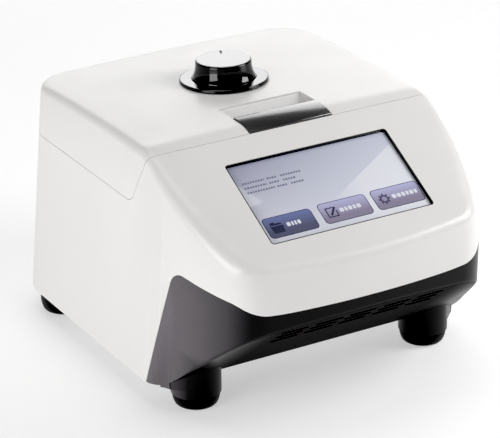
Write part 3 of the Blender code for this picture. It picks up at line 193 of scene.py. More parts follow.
def lathe(profile, segments=96):
    """Turn (radius, height) points about Z, either from axis to axis or as a closed ring."""
    bm = bmesh.new()
    ring = profile[0][0] > 1e-9 and profile[-1][0] > 1e-9
    columns = []
    for k in range(segments):
        turn = 2 * pi * k / segments
        columns.append([bm.verts.new((r * cos(turn), r * sin(turn), h)) for r, h in profile])
    steps = len(profile) if ring else len(profile) - 1
    for k in range(segments):
        here, there = columns[k], columns[(k + 1) % segments]
        for j in range(steps):
            n = (j + 1) % len(profile)
            bm.faces.new((here[j], there[j], there[n], here[n]))
    bmesh.ops.remove_doubles(bm, verts=bm.verts, dist=1e-7)
    return bm


def combine(obj, bm, operation="DIFFERENCE"):
    """Apply one exact Boolean to an object."""
    tool = piece("tool", bm, None, None, None)
    modifier = obj.modifiers.new("combine", "BOOLEAN")
    modifier.operation = operation
    modifier.solver = "EXACT"
    modifier.object = tool
    graph = bpy.context.evaluated_depsgraph_get()
    graph.update()
    result = bpy.data.meshes.new_from_object(obj.evaluated_get(graph), depsgraph=graph)
    obj.modifiers.remove(modifier)
    old, tool_mesh = obj.data, tool.data
    obj.data = result
    result.materials.clear()
    for material in old.materials:
        result.materials.append(material)
    result.polygons.foreach_set("material_index", [0] * len(result.polygons))
    bpy.data.objects.remove(tool)
    for mesh in (old, tool_mesh):
        bpy.data.meshes.remove(mesh)


def as_tool(obj):
    bm = bmesh.new()
    bm.from_mesh(obj.data)
    bpy.data.objects.remove(obj)
    return bm


def soften(obj, radius, segments=2, angle=40, weld=0.00012):
    """Round the sharp edges of an object's mesh."""
    bm = welded(obj.data, weld)
    bmesh.ops.dissolve_degenerate(bm, edges=bm.edges, dist=weld / 2)
    sharp = [edge for edge in bm.edges
             if len(edge.link_faces) == 2 and edge.calc_face_angle() > radians(angle)]
    bmesh.ops.bevel(bm, geom=sharp, offset=radius, segments=segments, profile=0.5, affect="EDGES",
                    clamp_overlap=False)
    write_back(bm, obj.data)
    shade_to(obj.data, 35)


class Surface:
    """A smooth surface that a cut shell takes its shading from."""

    def __init__(self, bm):
        bm.normal_update()
        self.points = [v.co.copy() for v in bm.verts]
        self.normals = [v.normal.copy() for v in bm.verts]
        self.faces = [[v.index for v in f.verts] for f in bm.faces]
        self.tree = BVHTree.FromPolygons(self.points, self.faces)

    def normal_at(self, point):
        """The smooth normal at a point on the surface, or None where the point is off it."""
        place, _, index, distance = self.tree.find_nearest(point)
        if distance is None or distance > 2e-5:
            return None
        corners = self.faces[index]
        weights = poly_3d_calc([self.points[i] for i in corners], place)
        normal = Vector((0, 0, 0))
        for i, weight in zip(corners, weights):
            normal += self.normals[i] * weight
        return normal.normalized()


def shade_like(obj, surface):
    """Give the faces that lie on a smooth surface that surface's own normals."""
    mesh = obj.data
    near = cos(radians(32))
    own = [surface.normal_at(vertex.co) for vertex in mesh.vertices]
    normals = [(0, 0, 0)] * len(mesh.loops)
    for polygon in mesh.polygons:
        for loop in polygon.loop_indices:
            normal = own[mesh.loops[loop].vertex_index]
            if normal and normal.dot(polygon.normal) > near:
                normals[loop] = tuple(normal)
    mesh.normals_split_custom_set(normals)


# ---- casing form
def arc(centre, radius, start, end, steps, skip_first=True):
    """Points on an arc with their outward normals, as (x, y, normal x, normal y)."""
    points = []
    for k in range(1 if skip_first else 0, steps + 1):
        turn = start + (end - start) * k / steps
        nx, ny = cos(turn), sin(turn)
        points.append((centre[0] + radius * nx, centre[1] + radius * ny, nx, ny))
    return points


def nose_corner():
    """Centre of the front corner arc, and the directions where it meets the side and front arcs."""
    side_x, side_y = HALF_WIDTH - NOSE_SIDE_ARC, NOSE_START_Y
    front_x, front_y = 0, NOSE_Y + NOSE_FRONT_ARC
    dx, dy = front_x - side_x, front_y - side_y
    apart = hypot(dx, dy)
    from_side, from_front = NOSE_SIDE_ARC - NOSE_CORNER, NOSE_FRONT_ARC - NOSE_CORNER
    along = (from_side ** 2 - from_front ** 2 + apart ** 2) / (2 * apart)
    aside = sqrt(from_side ** 2 - along ** 2)
    x = side_x + (dx * along + dy * aside) / apart
    y = side_y + (dy * along - dx * aside) / apart
    return (x, y), atan2(y - side_y, x - side_x), atan2(y - front_y, x - front_x)


def side_chain():
    """The right side of the outline, from the rear edge's end to the front edge's end."""
    corner, side_turn, front_turn = nose_corner()
    rear = (HALF_WIDTH - REAR_CORNER, REAR_Y - REAR_CORNER)
    chain = arc(rear, REAR_CORNER, pi / 2, 0, CORNER_STEPS, False)
    for row in SIDE_ROWS:
        chain.append((HALF_WIDTH, SEAM_Y + row, 1, 0))
    chain += arc((HALF_WIDTH - NOSE_SIDE_ARC, NOSE_START_Y), NOSE_SIDE_ARC, 0, side_turn, NOSE_STEPS)
    chain += arc(corner, NOSE_CORNER, side_turn, front_turn, NOSE_CORNER_STEPS)
    return chain


def edge_row(end, bow):
    """Points from the left end to the right end of the rear edge or the front edge."""
    x_end, y_end, _, ny = end
    row = []
    for k in range(ACROSS + 1):
        x = x_end * (2 * k / ACROSS - 1)
        if bow:
            y = NOSE_Y + NOSE_FRONT_ARC - sqrt(NOSE_FRONT_ARC ** 2 - x * x)
            nx, ny = x / NOSE_FRONT_ARC, -sqrt(1 - (x / NOSE_FRONT_ARC) ** 2)
        else:
            y, nx, ny = y_end, 0, 1
        row.append((x, y, nx, ny))
    return row


CHAIN = side_chain()
SIDE = len(CHAIN) - 1


def loop_outline():
    """The whole outline: rear edge left to right, right side, front edge right to left, left side."""
    rear = edge_row(CHAIN[0], False)
    front = edge_row(CHAIN[-1], True)
    left = [(-x, y, -nx, ny) for x, y, nx, ny in CHAIN]
    return rear + CHAIN[1:-1] + front[::-1] + left[-2:0:-1]


LOOP = loop_outline()


def top_height(x, y):
    """Height of the casing's top: sloping panel, a soft roll, then the crowned lid."""
    if y <= ROLL_START_Y:
        return SEAM_Z + PANEL_SLOPE * (y - SEAM_Y)
    crown = LID_CROWN * (x / HALF_WIDTH) ** 2 * min(1, (y - ROLL_START_Y) / 0.03)
    lid = LID_TOP_Z - LID_SAG * (y - LID_CREST_Y) ** 2
    if y < ROLL_END_Y:
        share = (y - ROLL_START_Y) / (ROLL_END_Y - ROLL_START_Y)
        start = SEAM_Z + PANEL_SLOPE * (ROLL_START_Y - SEAM_Y)
        run = ROLL_END_Y - ROLL_START_Y
        rise = LID_TOP_Z - LID_SAG * (ROLL_END_Y - LID_CREST_Y) ** 2 - start
        lid = start + PANEL_SLOPE * run * (share - 2 * share ** 2 + share ** 3)
        lid += rise * (3 * share ** 2 - 2 * share ** 3)
    return lid - crown


def ease(value, low, high):
    share = max(0, min(1, (value - low) / (high - low)))
    return share * share * (3 - 2 * share)


def under_height(x, y):
    """Height of the underside: level at the rear, with a soft bend into the slope."""
    run = UNDERSIDE_Y - y
    return FLOOR_Z + UNDERSIDE_SLOPE * (run + sqrt(run * run + BEND * BEND)) / 2


def rim_radius(y, ny):
    """The edge radius grows beside the panel and is smaller again under it."""
    if y > SEAM_Y:
        return LID_RIM
    share = min(1, (SEAM_Y - y) / 0.09)
    side = LID_RIM + (PANEL_RIM - LID_RIM) * share
    frontal = max(0, min(1, (-ny - 0.6) / 0.35))
    return side + (FRONT_RIM - side) * frontal


def fillet(down, inward, radius, steps):
    """Offsets from a corner over its rounding, from the wall to the surface, in (out, up)."""
    opening = down.angle(inward)
    reach = radius / tan(opening / 2)
    centre = (down + inward).normalized() * (radius / sin(opening / 2))
    first, last = down * reach - centre, inward * reach - centre
    sweep = first.angle(last)
    offsets = []
    for k in range(steps + 1):
        a = sin(sweep * (1 - k / steps)) / sin(sweep)
        b = sin(sweep * k / steps) / sin(sweep)
        offsets.append(centre + first * a + last * b)
    return offsets


def out_by(point, out, z):
    """A place out of the outline at a height."""
    x, y, nx, ny = point
    return x + nx * out, y + ny * out, z


def top_rim(point, inset):
    """Points over the top edge at one place of the outline, from the wall to the top surface."""
    x, y, nx, ny = point
    z = SEAM_Z
    for _ in range(12):
        out = DRAFT * (SEAM_Z - z) - inset
        z = top_height(x + nx * out, y + ny * out) - inset
    out = DRAFT * (SEAM_Z - z) - inset
    slope = (top_height(x - nx * 0.012, y - ny * 0.012) - top_height(x - nx * 0.008, y - ny * 0.008)) / 0.004
    down = Vector((DRAFT, -1)).normalized()
    inward = Vector((-1, slope)).normalized()
    radius = max(0.0015, rim_radius(y, ny) - inset)
    return [out_by(point, out + o.x, z + o.y) for o in fillet(down, inward, radius, RIM_STEPS)]


def top_grid(bm, ring, surface, front_rows):
    """Fill a ring of rim points with a grid that follows a height function."""
    count = len(LOOP)
    rows = [ring[:ACROSS + 1]]
    for j in range(1, SIDE):
        right, left = ring[ACROSS + j], ring[count - j]
        share = max(0, (j - SIDE + front_rows) / front_rows) ** 2
        row = [left]
        for k in range(1, ACROSS):
            x = right.co.x * (2 * k / ACROSS - 1)
            bow = right.co.x ** 2 - x * x
            y = right.co.y - share * bow / (2 * NOSE_FRONT_ARC)
            row.append(bm.verts.new((x, y, surface(x, y))))
        rows.append(row + [right])
    rows.append(ring[ACROSS + SIDE:2 * ACROSS + SIDE + 1][::-1])
    for here, there in zip(rows, rows[1:]):
        for k in range(ACROSS):
            bm.faces.new((here[k], here[k + 1], there[k + 1], there[k]))


def skin(bm, rings):
    for low, high in zip(rings, rings[1:]):
        for i in range(len(low)):
            j = (i + 1) % len(low)
            bm.faces.new((low[i], low[j], high[j], high[i]))


def closed_form(columns, upright, surface):
    """A solid from columns of points round the outline, flat at one end and curved at the other."""
    bm = bmesh.new()
    rings = [[bm.verts.new(column[k]) for column in columns] for k in range(len(columns[0]))]
    skin(bm, rings)
    flat, curved = (rings[0][::-1], rings[-1]) if upright else (rings[-1], rings[0])
    bm.faces.new(flat)
    top_grid(bm, curved, surface, NOSE_CORNER_STEPS * 0.7)
    bmesh.ops.recalc_face_normals(bm, faces=bm.faces)
    bm.verts.index_update()
    return bm


def casing_form(inset, floor_z):
    """The closed outer form of the whole machine, moved inwards by inset."""
    floor_out = DRAFT * (SEAM_Z - floor_z) - inset
    columns = [[out_by(point, floor_out, floor_z)] + top_rim(point, inset) for point in LOOP]
    return closed_form(columns, True, lambda x, y: top_height(x, y) - inset)


def wall_out(point, z, inset):
    """How far the nose's wall stands out of the outline at a height, with the wings drawn in."""
    x, y, nx, ny = point
    out = DRAFT * (SEAM_Z - z)
    edge_y = WING_FOOT_Y - WING_LEAN * (z - FLOOR_Z)
    share = ease(edge_y - y - ny * out, 0, WING_FLANK)
    pull = WING_PULL * max(0, min(1, (WING_PULL_Z - z) / (WING_PULL_Z - FLOOR_Z)))
    return out - inset - pull * share


def nose_form(inset, top_z, fold, under_height=under_height):
    """The nose from its sloping underside up to a level cut, with a rounded fold under the wall."""
    columns = []
    lift = inset / cos(atan(UNDERSIDE_SLOPE))

    def under(x, y):
        return under_height(x, y) + lift

    for point in LOOP:
        x, y, nx, ny = point
        z = FLOOR_Z
        for _ in range(40):
            out = wall_out(point, z, inset)
            z = 0.5 * z + 0.5 * under(x + nx * out, y + ny * out)
        out = wall_out(point, z, inset)
        up = Vector((wall_out(point, z + 0.004, inset) - out, 0.004)).normalized()
        px, py = x + nx * out, y + ny * out
        slope = (under(px - nx * 0.006, py - ny * 0.006) - z) / 0.006
        inward = Vector((-1, slope)).normalized()
        radius = SHARP_FOLD + (fold - SHARP_FOLD) * ease(-y, *FOLD_GROWS)
        offsets = fillet(up, inward, radius, FOLD_STEPS)
        column = [out_by(point, out + o.x, z + o.y) for o in reversed(offsets)]
        start = z + offsets[0].y
        for k in range(1, WALL_LEVELS + 1):
            height = start + (top_z - start) * k / WALL_LEVELS
            column.append(out_by(point, wall_out(point, height, inset), height))
        columns.append(column)
    return closed_form(columns, False, under)


def lid_zone(grow, low=None):
    """Everything above the lid's parting line, as a solid across the machine, grown outwards."""
    lean = (LID_SPLIT_Y - SEAM_Y) / (SEAM_Z - LID_SPLIT_Z)
    shift = grow * hypot(1, lean)
    radius = LID_SPLIT_RADIUS + grow if low is None else 0
    low = LID_SPLIT_Z - grow if low is None else low

    def front_y(z):
        return SEAM_Y + lean * (SEAM_Z - z) - shift

    outline = rounded([(FAR, low, 0), (FAR, ABOVE, 0), (front_y(ABOVE), ABOVE, 0),
                       (front_y(low), low, radius)], 12)
    return prism(outline, -WIDE, WIDE)


def wing_edge():
    """The upper edge of the front base cover in the side view, from the floor to the front."""
    peak_y = WING_FOOT_Y - WING_LEAN * (WING_TOP_Z - FLOOR_Z)
    return rounded([
        (WING_FOOT_Y, FLOOR_Z, 0),
        (peak_y, WING_TOP_Z, WING_RADIUS),
        (SEAM_Y - 0.108, 0.123, 0.02),
        (SEAM_Y - 0.124, BAND_Z + 0.0012, 0.008),
        (SEAM_Y - 0.16, BAND_Z, 0),
    ], 10)[:-1] + [(SEAM_Y - 0.16, BAND_Z)]


def cover_zone(gap, low):
    """What lies in front of and below the base cover's upper edge, moved by a gap, down to a height."""
    edge = [(y + gap, z + gap) for y, z in wing_edge()]
    outline = [(edge[0][0], low)] + edge + [(-FAR, edge[-1][1]), (-FAR, low)]
    return prism(outline, -WIDE, WIDE)


def panel_frame():
    """Matrix of the display panel: X to the right, Y up the slope, Z out of the panel."""
    height = SEAM_Z + PANEL_SLOPE * (WINDOW_Y - SEAM_Y)
    return Matrix.Translation((0, WINDOW_Y, height)) @ Matrix.Rotation(atan(PANEL_SLOPE), 4, "X")


def rear_frame():
    """Matrix of the rear wall: X across, Y out of the wall, Z up the wall, origin low at the centre."""
    height = REAR_OPENING_Z[0]
    outer = REAR_Y + DRAFT * (SEAM_Z - height)
    return Matrix.Translation((0, outer, height)) @ Matrix.Rotation(atan(DRAFT), 4, "X")


def knob_frame():
    """Matrix of the knob: Z along its axis, origin on the lid's top."""
    return Matrix.Translation((0, BLOCK_Y, top_height(0, BLOCK_Y))) @ Matrix.Rotation(-KNOB_TILT, 4, "X")


# ---- materials
class Nodes:
    """A short way to build a node tree round one Principled shader."""

    def __init__(self, name):
        self.material = bpy.data.materials.new(name)
        self.material.use_nodes = True
        self.tree = self.material.node_tree
        self.shader = self.tree.nodes["Principled BSDF"]
        self.coords = self.add("TexCoord").outputs["Object"]

    def fill(self, node, values):
        """Link or set a node's inputs."""
        for key, value in values.items():
            socket = node.inputs[key]
            if isinstance(value, bpy.types.NodeSocket):
                self.tree.links.new(value, socket)
            else:
                socket.default_value = (*value, 1) if socket.type == "RGBA" else value

    def add(self, kind, values=None, **settings):
        node = self.tree.nodes.new("ShaderNode" + kind)
        for key, value in settings.items():
            setattr(node, key, value)
        self.fill(node, values or {})
        return node

    def finish(self, colour, roughness, normal, **others):
        """Fill the shader's main inputs, and others by name, with _ for each space."""
        self.fill(self.shader, {"Base Color": colour, "Roughness": roughness, "Normal": normal})
        self.fill(self.shader, {key.replace("_", " "): value for key, value in others.items()})
        return self

    def scaled(self, scale):
        return self.add("Mapping", {"Vector": self.coords, "Scale": scale}).outputs["Vector"]

    def parts(self, vector):
        return self.add("SeparateXYZ", {"Vector": vector}).outputs

    def noise(self, scale, detail=3, roughness=0.55, vector=None):
        values = {"Vector": vector or self.coords, "Scale": scale, "Detail": detail, "Roughness": roughness}
        return self.add("TexNoise", values).outputs["Fac"]

    def spread(self, value, low=0, high=1, start=0.3, end=0.7):
        values = {"Value": value, "From Min": start, "From Max": end, "To Min": low, "To Max": high}
        return self.add("MapRange", values).outputs["Result"]

    def mix(self, factor, first, second):
        values = {"Factor": factor, "A": first, "B": second}
        return self.add("Mix", values, data_type="RGBA").outputs["Result"]

    def cloudy(self, scale, detail, first, second):
        return self.mix(self.spread(self.noise(scale, detail)), first, second)

    def math(self, operation, *values):
        return self.add("Math", dict(enumerate(values)), operation=operation).outputs["Value"]

    def bump(self, height, strength, distance=0.0002):
        values = {"Height": height, "Strength": strength, "Distance": distance}
        return self.add("Bump", values).outputs["Normal"]


def shade(colour, factor):
    return tuple(c * factor for c in colour)


def moulded(name, colour, roughness, grain=1500, relief=0.05, vary=0.04, wear=0.25, tint=None, coat=0):
    """Moulded plastic: faint cloudiness, a fine spark-eroded grain and slightly polished edges."""
    n = Nodes(name)
    hazy = n.cloudy(9, 4, shade(colour, 1 - vary), shade(tint or colour, 1 + vary * 0.4))
    edges = n.spread(n.add("NewGeometry").outputs["Pointiness"], 0, 1, 0.53, 0.62)
    smudged = n.spread(n.noise(38, 5, 0.65), roughness * 0.88, roughness * 1.14)
    return n.finish(n.mix(edges, hazy, shade(colour, 1 + wear)), smudged,
                    n.bump(n.noise(grain, 2, 0.6), relief), Coat_Weight=coat, Coat_Roughness=0.06)


def glossy(name, colour, roughness=0.06, coat=0.4):
    """Polished dark plastic with a faint orange peel and fine wipe marks."""
    n = Nodes(name)
    wiped = n.spread(n.noise(1, 5, 0.7, n.scaled((70, 420, 180))), roughness * 0.7, roughness * 1.7)
    return n.finish(n.cloudy(14, 3, colour, shade(colour, 1.35)), wiped,
                    n.bump(n.noise(160, 2), 0.02, 0.0004), Coat_Weight=coat, Coat_Roughness=0.04)


def brushed(name, colour, roughness, stretch=(30, 1800, 1800), relief=0.06, metallic=1):
    """Metal with a directional grain."""
    n = Nodes(name)
    lines = n.noise(1, 4, 0.6, n.scaled(stretch))
    toned = n.cloudy(22, 4, shade(colour, 0.93), shade(colour, 1.04))
    return n.finish(n.mix(n.spread(lines, 0, 0.5), toned, shade(colour, 0.8)),
                    n.spread(lines, roughness * 0.8, roughness * 1.35), n.bump(lines, relief),
                    Metallic=metallic)


def flanked(name, front, flank, roughness):
    """Black moulding whose side faces are painted a greyer colour than the front and the underside: a
    painted sheen that stands in for the light they catch.
    """
    n = moulded(name, front, roughness, grain=1900, relief=0.04, vary=0.06, wear=0)
    base, rough, grain = (n.shader.inputs[key].links[0].from_socket
                          for key in ("Base Color", "Roughness", "Normal"))
    facing = n.parts(n.add("NewGeometry").outputs["True Normal"])
    place = n.parts(n.coords)
    sideways = n.spread(n.math("ABSOLUTE", facing["X"]), 0, 1, 0.4, 0.95)
    across = n.math("ABSOLUTE", place["X"])
    low = n.spread(across, 0, 1, 0.13, 0.1425)
    high = n.math("MULTIPLY", n.spread(across, 0, 1, 0.108, 0.146),
                  n.spread(place["Z"], 0, 1, 0.046, 0.064))
    # Painted sheen: the flanks' side faces get a lighter grey in place of reflected light.
    painted_sheen_mask = n.math("MULTIPLY", sideways, n.math("MAXIMUM", low, high))
    painted_sheen_grey = n.cloudy(12, 1, shade(flank, 0.92), shade(flank, 1.1))
    facing_down = n.spread(n.math("MULTIPLY", facing["Z"], -1), 0, 0.95, 0.2, 0.6)
    sheltered = n.math("MULTIPLY", facing_down, n.spread(across, 1, 0, 0.085, 0.14))
    return n.finish(n.mix(painted_sheen_mask, base, painted_sheen_grey), n.math("MAXIMUM", rough, sheltered), grain,
                    Specular_IOR_Level=0.26)


def board_look():
    """Green solder mask over copper tracks, seen as a faint pattern."""
    n = Nodes("circuit_board")
    cells = n.add("TexBrick", {"Vector": n.coords, "Scale": 260, "Mortar Size": 0.04}).outputs["Fac"]
    mask = n.cloudy(60, 3, (0.01, 0.1, 0.045), (0.016, 0.14, 0.06))
    return n.finish(n.mix(cells, mask, (0.035, 0.2, 0.08)), n.spread(n.noise(240), 0.3, 0.5),
                    n.bump(cells, 0.15))


# Each look, and the record's slot that it belongs to.
LOOKS = {
    "white": (moulded("white_moulding", (0.8, 0.79, 0.775), 0.34, vary=0.018, wear=0.04,
                      tint=(0.81, 0.8, 0.79), coat=0.12), "white_plastic"),
    # The black moulding's second colour is the painted sheen on its side faces.
    "black": (flanked("black_moulding", (0.0065, 0.006, 0.0065), (0.15, 0.138, 0.152), 0.3),
              "black_plastic"),
    "dark": (moulded("dark_moulding", (0.022, 0.022, 0.023), 0.4, relief=0.08, vary=0.12), "black_plastic"),
    "gloss": (glossy("gloss_black", (0.003, 0.003, 0.0035), coat=0), "black_gloss"),
    "flap": (glossy("latch_black", (0.004, 0.004, 0.005), 0.17, coat=1), "black_gloss"),
    "rubber": (moulded("foot_rubber", (0.006, 0.006, 0.006), 0.45, 900, 0.12, 0.2), "foot_rubber"),
    "grey": (moulded("grey_moulding", (0.19, 0.19, 0.2), 0.45, vary=0.06), "grey_plastic"),
    "steel": (brushed("brushed_steel", (0.58, 0.58, 0.59), 0.3), "steel"),
    "plated": (brushed("plated_steel", (0.62, 0.62, 0.61), 0.3, (90,) * 3, 0.01), "steel"),
    "mirror": (brushed("polished_plate", (0.27, 0.27, 0.275), 0.06, (900,) * 3, 0.004), "polished_metal"),
    "silver": (brushed("satin_cap", (0.42, 0.42, 0.425), 0.12, (900,) * 3, 0.004, 0.45), "polished_metal"),
    "aluminium": (brushed("machined_aluminium", (0.78, 0.79, 0.8), 0.27, (1500, 60, 1500), 0.05),
                  "aluminium"),
    "bead": (brushed("anodised_block", (0.7, 0.71, 0.72), 0.36, (1700,) * 3, 0.1), "aluminium"),
    "bronze": (brushed("bronze", (0.72, 0.5, 0.24), 0.28, (900,) * 3, 0.05), "bronze"),
    "ceramic": (moulded("ceramic", (0.86, 0.85, 0.82), 0.55, 2600, 0.1), "ceramic"),
    "seal": (moulded("seal_silicone", (0.36, 0.1, 0.06), 0.5, 700, 0.08, 0.08), "seal_silicone"),
    "board": (board_look(), "circuit_board"),
}
for look, level in (("rubber", 0.15), ("flap", 0.5)):
    LOOKS[look][0].shader.inputs["Specular IOR Level"].default_value = level
for key, value in (("Coat IOR", 1.75), ("Coat Roughness", 0.17)):
    LOOKS["flap"][0].shader.inputs[key].default_value = value
NODE_LOOKS = {
    "steel": ("chassis_plate",),
    "plated": ("latch_spring", "latch_pin", "hinge_pin_left", "hinge_pin_right", "guide_rod_left",
               "guide_rod_right", "knob_spindle", "hinge_leaf_base_left", "hinge_leaf_base_right",
               "hinge_leaf_lid_left", "hinge_leaf_lid_right"),
    "aluminium": ("heat_sink",),
    "bronze": ("spindle_bush", "spindle_nut"),
    "ceramic": ("peltier_1", "peltier_2", "peltier_3", "peltier_4"),
    "board": ("main_board",),
    "dark": ("fan_frame_left", "fan_frame_right", "fan_rotor_left", "fan_rotor_right"),
}
for look, names in NODE_LOOKS.items():
    for node_name in names:
        for slot in frame["nodes"][node_name].material_slots:
            slot.material = LOOKS[look][0].material


def finished(name, bm, look, body, node=None, smooth=35):
    """A piece in one of the looks, which may stand for a CAD node."""
    made, slot_name = LOOKS[look]
    obj = piece(name, bm, made.material, body, smooth)
    if node:
        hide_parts(node)
    return obj


# ---- casing shells
PRISTINE = Surface(casing_form(0, FLOOR_Z))


HINGE_Y, HINGE_Z, HINGE_X, HINGE_WIDTH, HINGE_LEAF_Y = 0.1775, 0.1687, 0.07, 0.03, 0.156
DECK_HOLE, DECK_CUT_Z = (0.0765, 0.0575, 0.004), (0.155, 0.18)
HOOK_SLOT_Y, HOOK_SLOT_HALF = (SEAM_Y + 0.027, SEAM_Y + 0.049), 0.01
LATCH_Y, LATCH_Z, LATCH_HALF, LATCH_PIN = SEAM_Y + 0.0026, 0.2154, 0.04, 0.0009
RECESS_BACK, RECESS_FLOOR_Z = 0.053, 0.1985
BUSH_RADIUS, DIAL_RADIUS = 0.006, 0.0389
ROD_X, ROD_RADIUS = 0.044, 0.002


def hinge_notch(x, side):
    """Room for one hinge leaf and its knuckle in the shell above (1) or below (-1) the parting line."""
    leaf_far, knuckle_far = HINGE_Z + side * 0.0026, HINGE_Z + side * 0.0062
    beyond = HINGE_Z - side * 0.004
    near, neck, far = HINGE_LEAF_Y - CLEAR, HINGE_Y - 0.0066, HINGE_Y + 0.02
    outline = [(near, leaf_far), (neck, leaf_far), (neck, knuckle_far), (far, knuckle_far), (far, beyond),
               (near, beyond)]
    half = HINGE_WIDTH / 2 + CLEAR
    return prism(outline, x - half, x + half)


def make_housing():
    obj = finished("shell_housing", casing_form(0, FLOOR_Z), "white", "base", "upper_housing")
    combine(obj, lid_zone(GAP))
    cavity = piece("cavity", casing_form(WALL, FLOOR_Z - 0.005), None, None, None)
    combine(cavity, lid_zone(GAP + WALL))
    combine(obj, as_tool(cavity))
    combine(obj, cover_zone(GAP, -0.02))
    window = rectangle(WINDOW_HALF, WINDOW_HEIGHT / 2, WINDOW_CORNER)
    combine(obj, moved(prism(window, -0.012, 0.01, "z"), panel_frame()))
    high = (REAR_OPENING_Z[1] - REAR_OPENING_Z[0]) / 2
    opening = rectangle(REAR_OPENING_HALF, high, 0.004, (0, high))
    combine(obj, moved(prism(opening, -0.01, 0.01, "y"), rear_frame()))
    combine(obj, prism(rectangle(*DECK_HOLE, (0, BLOCK_Y)), *DECK_CUT_Z, "z"))
    combine(obj, block((-HOOK_SLOT_HALF, HOOK_SLOT_Y[0], 0.16), (HOOK_SLOT_HALF, HOOK_SLOT_Y[1], 0.175)))
    for side in (-1, 1):
        combine(obj, hinge_notch(side * HINGE_X, -1))
    return obj


def latch_bore(half):
    """The tool for the latch pin's hole."""
    return rod((-half, LATCH_Y, LATCH_Z), (half, LATCH_Y, LATCH_Z), LATCH_PIN + 0.0001, 24)


def bore(x, low, high, radius, segments=48):
    """A round tool or boss along the knob's axis, aside by x."""
    return moved(rod((x, 0, low), (x, 0, high), radius, segments), knob_frame())


def make_lid():
    obj = finished("shell_lid", casing_form(0, FLOOR_Z), "white", "lid", "lid_cover")
    combine(obj, lid_zone(0), "INTERSECT")
    hollow = piece("hollow", casing_form(WALL, FLOOR_Z), None, None, None)
    combine(hollow, lid_zone(-WALL, LID_SPLIT_Z - 0.01), "INTERSECT")
    combine(obj, as_tool(hollow))
    for side in (-1, 1):
        combine(obj, bore(side * ROD_X, -0.013, -0.0015, 0.0042), "UNION")
    centre = (0, SEAM_Y + (RECESS_BACK - 0.004) / 2)
    recess = rectangle(LATCH_HALF + 0.0006, (RECESS_BACK + 0.004) / 2, 0.002, centre)
    combine(obj, prism(recess, RECESS_FLOOR_Z, 0.24, "z"))
    combine(obj, latch_bore(0.0445))
    combine(obj, bore(0, -0.02, 0.02, BUSH_RADIUS + CLEAR))
    combine(obj, bore(0, -0.001, 0.02, DIAL_RADIUS + 0.0004, 128))
    for side in (-1, 1):
        combine(obj, bore(side * ROD_X, -0.03, -0.004, ROD_RADIUS + 0.0002, 24))
        combine(obj, hinge_notch(side * HINGE_X, 1))
    return obj


COLUMN_X, COLUMN_Y, COLUMN_RADIUS, COLUMN_BOTTOM, COLUMN_TOP = 0.114, SEAM_Y - 0.033, 0.0216, 0.012, 0.043
NOSE_CUT_Z, BASE_FOLD = 0.145, 0.0055
VENT_ROWS, VENT_COLUMNS, VENT_TOP = 3, 5, 0.0895
VENT_PITCH_X, VENT_PITCH_Y, VENT_LENGTH, VENT_HEIGHT = 0.033, 0.012, 0.027, 0.0048


def vent_slots():
    """All the intake slots, as one set of tools."""
    slope = atan(UNDERSIDE_SLOPE)
    middle = UNDERSIDE_Y - (VENT_TOP - FLOOR_Z) / UNDERSIDE_SLOPE
    size = (VENT_LENGTH / 2, VENT_HEIGHT / 2, VENT_HEIGHT * 0.49)
    tools = bmesh.new()
    for row in range(VENT_ROWS):
        for column in range(VENT_COLUMNS):
            x = (column - (VENT_COLUMNS - 1) / 2) * VENT_PITCH_X
            place = Matrix.Translation((x, middle, VENT_TOP)) @ Matrix.Rotation(-slope, 4, "X")
            slot = rectangle(*size, (0, row * VENT_PITCH_Y), 6)
            add_mesh(tools, moved(prism(slot, -0.012, 0.012, "z"), place))
    return tools


def add_mesh(target, source):
    mesh = bpy.data.meshes.new("copy")
    source.to_mesh(mesh)
    source.free()
    target.from_mesh(mesh)
    bpy.data.meshes.remove(mesh)


SKIRT = ((0.108, 0.004, 0), (0.17, 0.004, 0), (0.17, -0.003, 0), (0.141, -0.004, 0.004),
         (0.129, -0.0155, 0), (0.114, -0.018, 0))


def make_base():
    obj = finished("shell_base", nose_form(0, NOSE_CUT_Z, BASE_FOLD), "black", "base", "front_base_cover")
    combine(obj, cover_zone(0, 0), "INTERSECT")
    combine(obj, nose_form(WALL, 0.15, 0.0015))
    for side in (-1, 1):
        skirt = piece("skirt", nose_form(0, NOSE_CUT_Z, SHARP_FOLD, lambda x, y: FLOOR_Z), None, None, None)
        corners = [(side * x, COLUMN_Y + y, radius) for x, y, radius in SKIRT]
        combine(skirt, prism(rounded(corners), 0, COLUMN_TOP, "z"), "INTERSECT")
        combine(obj, as_tool(skirt), "UNION")
        x = side * COLUMN_X
        column = rod((x, COLUMN_Y, COLUMN_BOTTOM), (x, COLUMN_Y, COLUMN_TOP), COLUMN_RADIUS, 96)
        combine(obj, column, "UNION")
    combine(obj, vent_slots())
    return obj


def finish_shell(obj, surface):
    """Shade a shell as the smooth form that it was cut from."""
    write_back(welded(obj.data, 0.00002), obj.data)
    shade_to(obj.data, 30)
    shade_like(obj, surface)


housing = make_housing()
lid = make_lid()
base = make_base()
finish_shell(housing, PRISTINE)
finish_shell(lid, PRISTINE)
finish_shell(base, Surface(nose_form(0, NOSE_CUT_Z, BASE_FOLD)))


# ---- refined copies of simple pieces
REFINED_WELD = 0.00005


def refined(look, radius, *nodes, angle=40):
    """Copies of CAD pieces with their sharp edges rounded."""
    bodies = frame["record"]["behaviour"]["bodies"]
    for node in nodes:
        body = next(name for name, members in bodies.items() if node in members)
        bm = welded(frame["nodes"][node].data, REFINED_WELD)
        bmesh.ops.dissolve_limit(bm, angle_limit=radians(0.5), verts=bm.verts, edges=bm.edges)
        obj = finished("fine_" + node, bm, look, body, node)
        soften(obj, radius, 2, angle, REFINED_WELD)
        obj.modifiers.new("flat_faces_lead", "WEIGHTED_NORMAL").keep_sharp = True


refined("steel", 0.0003, "core_bracket_left", "core_bracket_right")


# ---- feet
REAR_FOOT = (0.128, 0.1335)


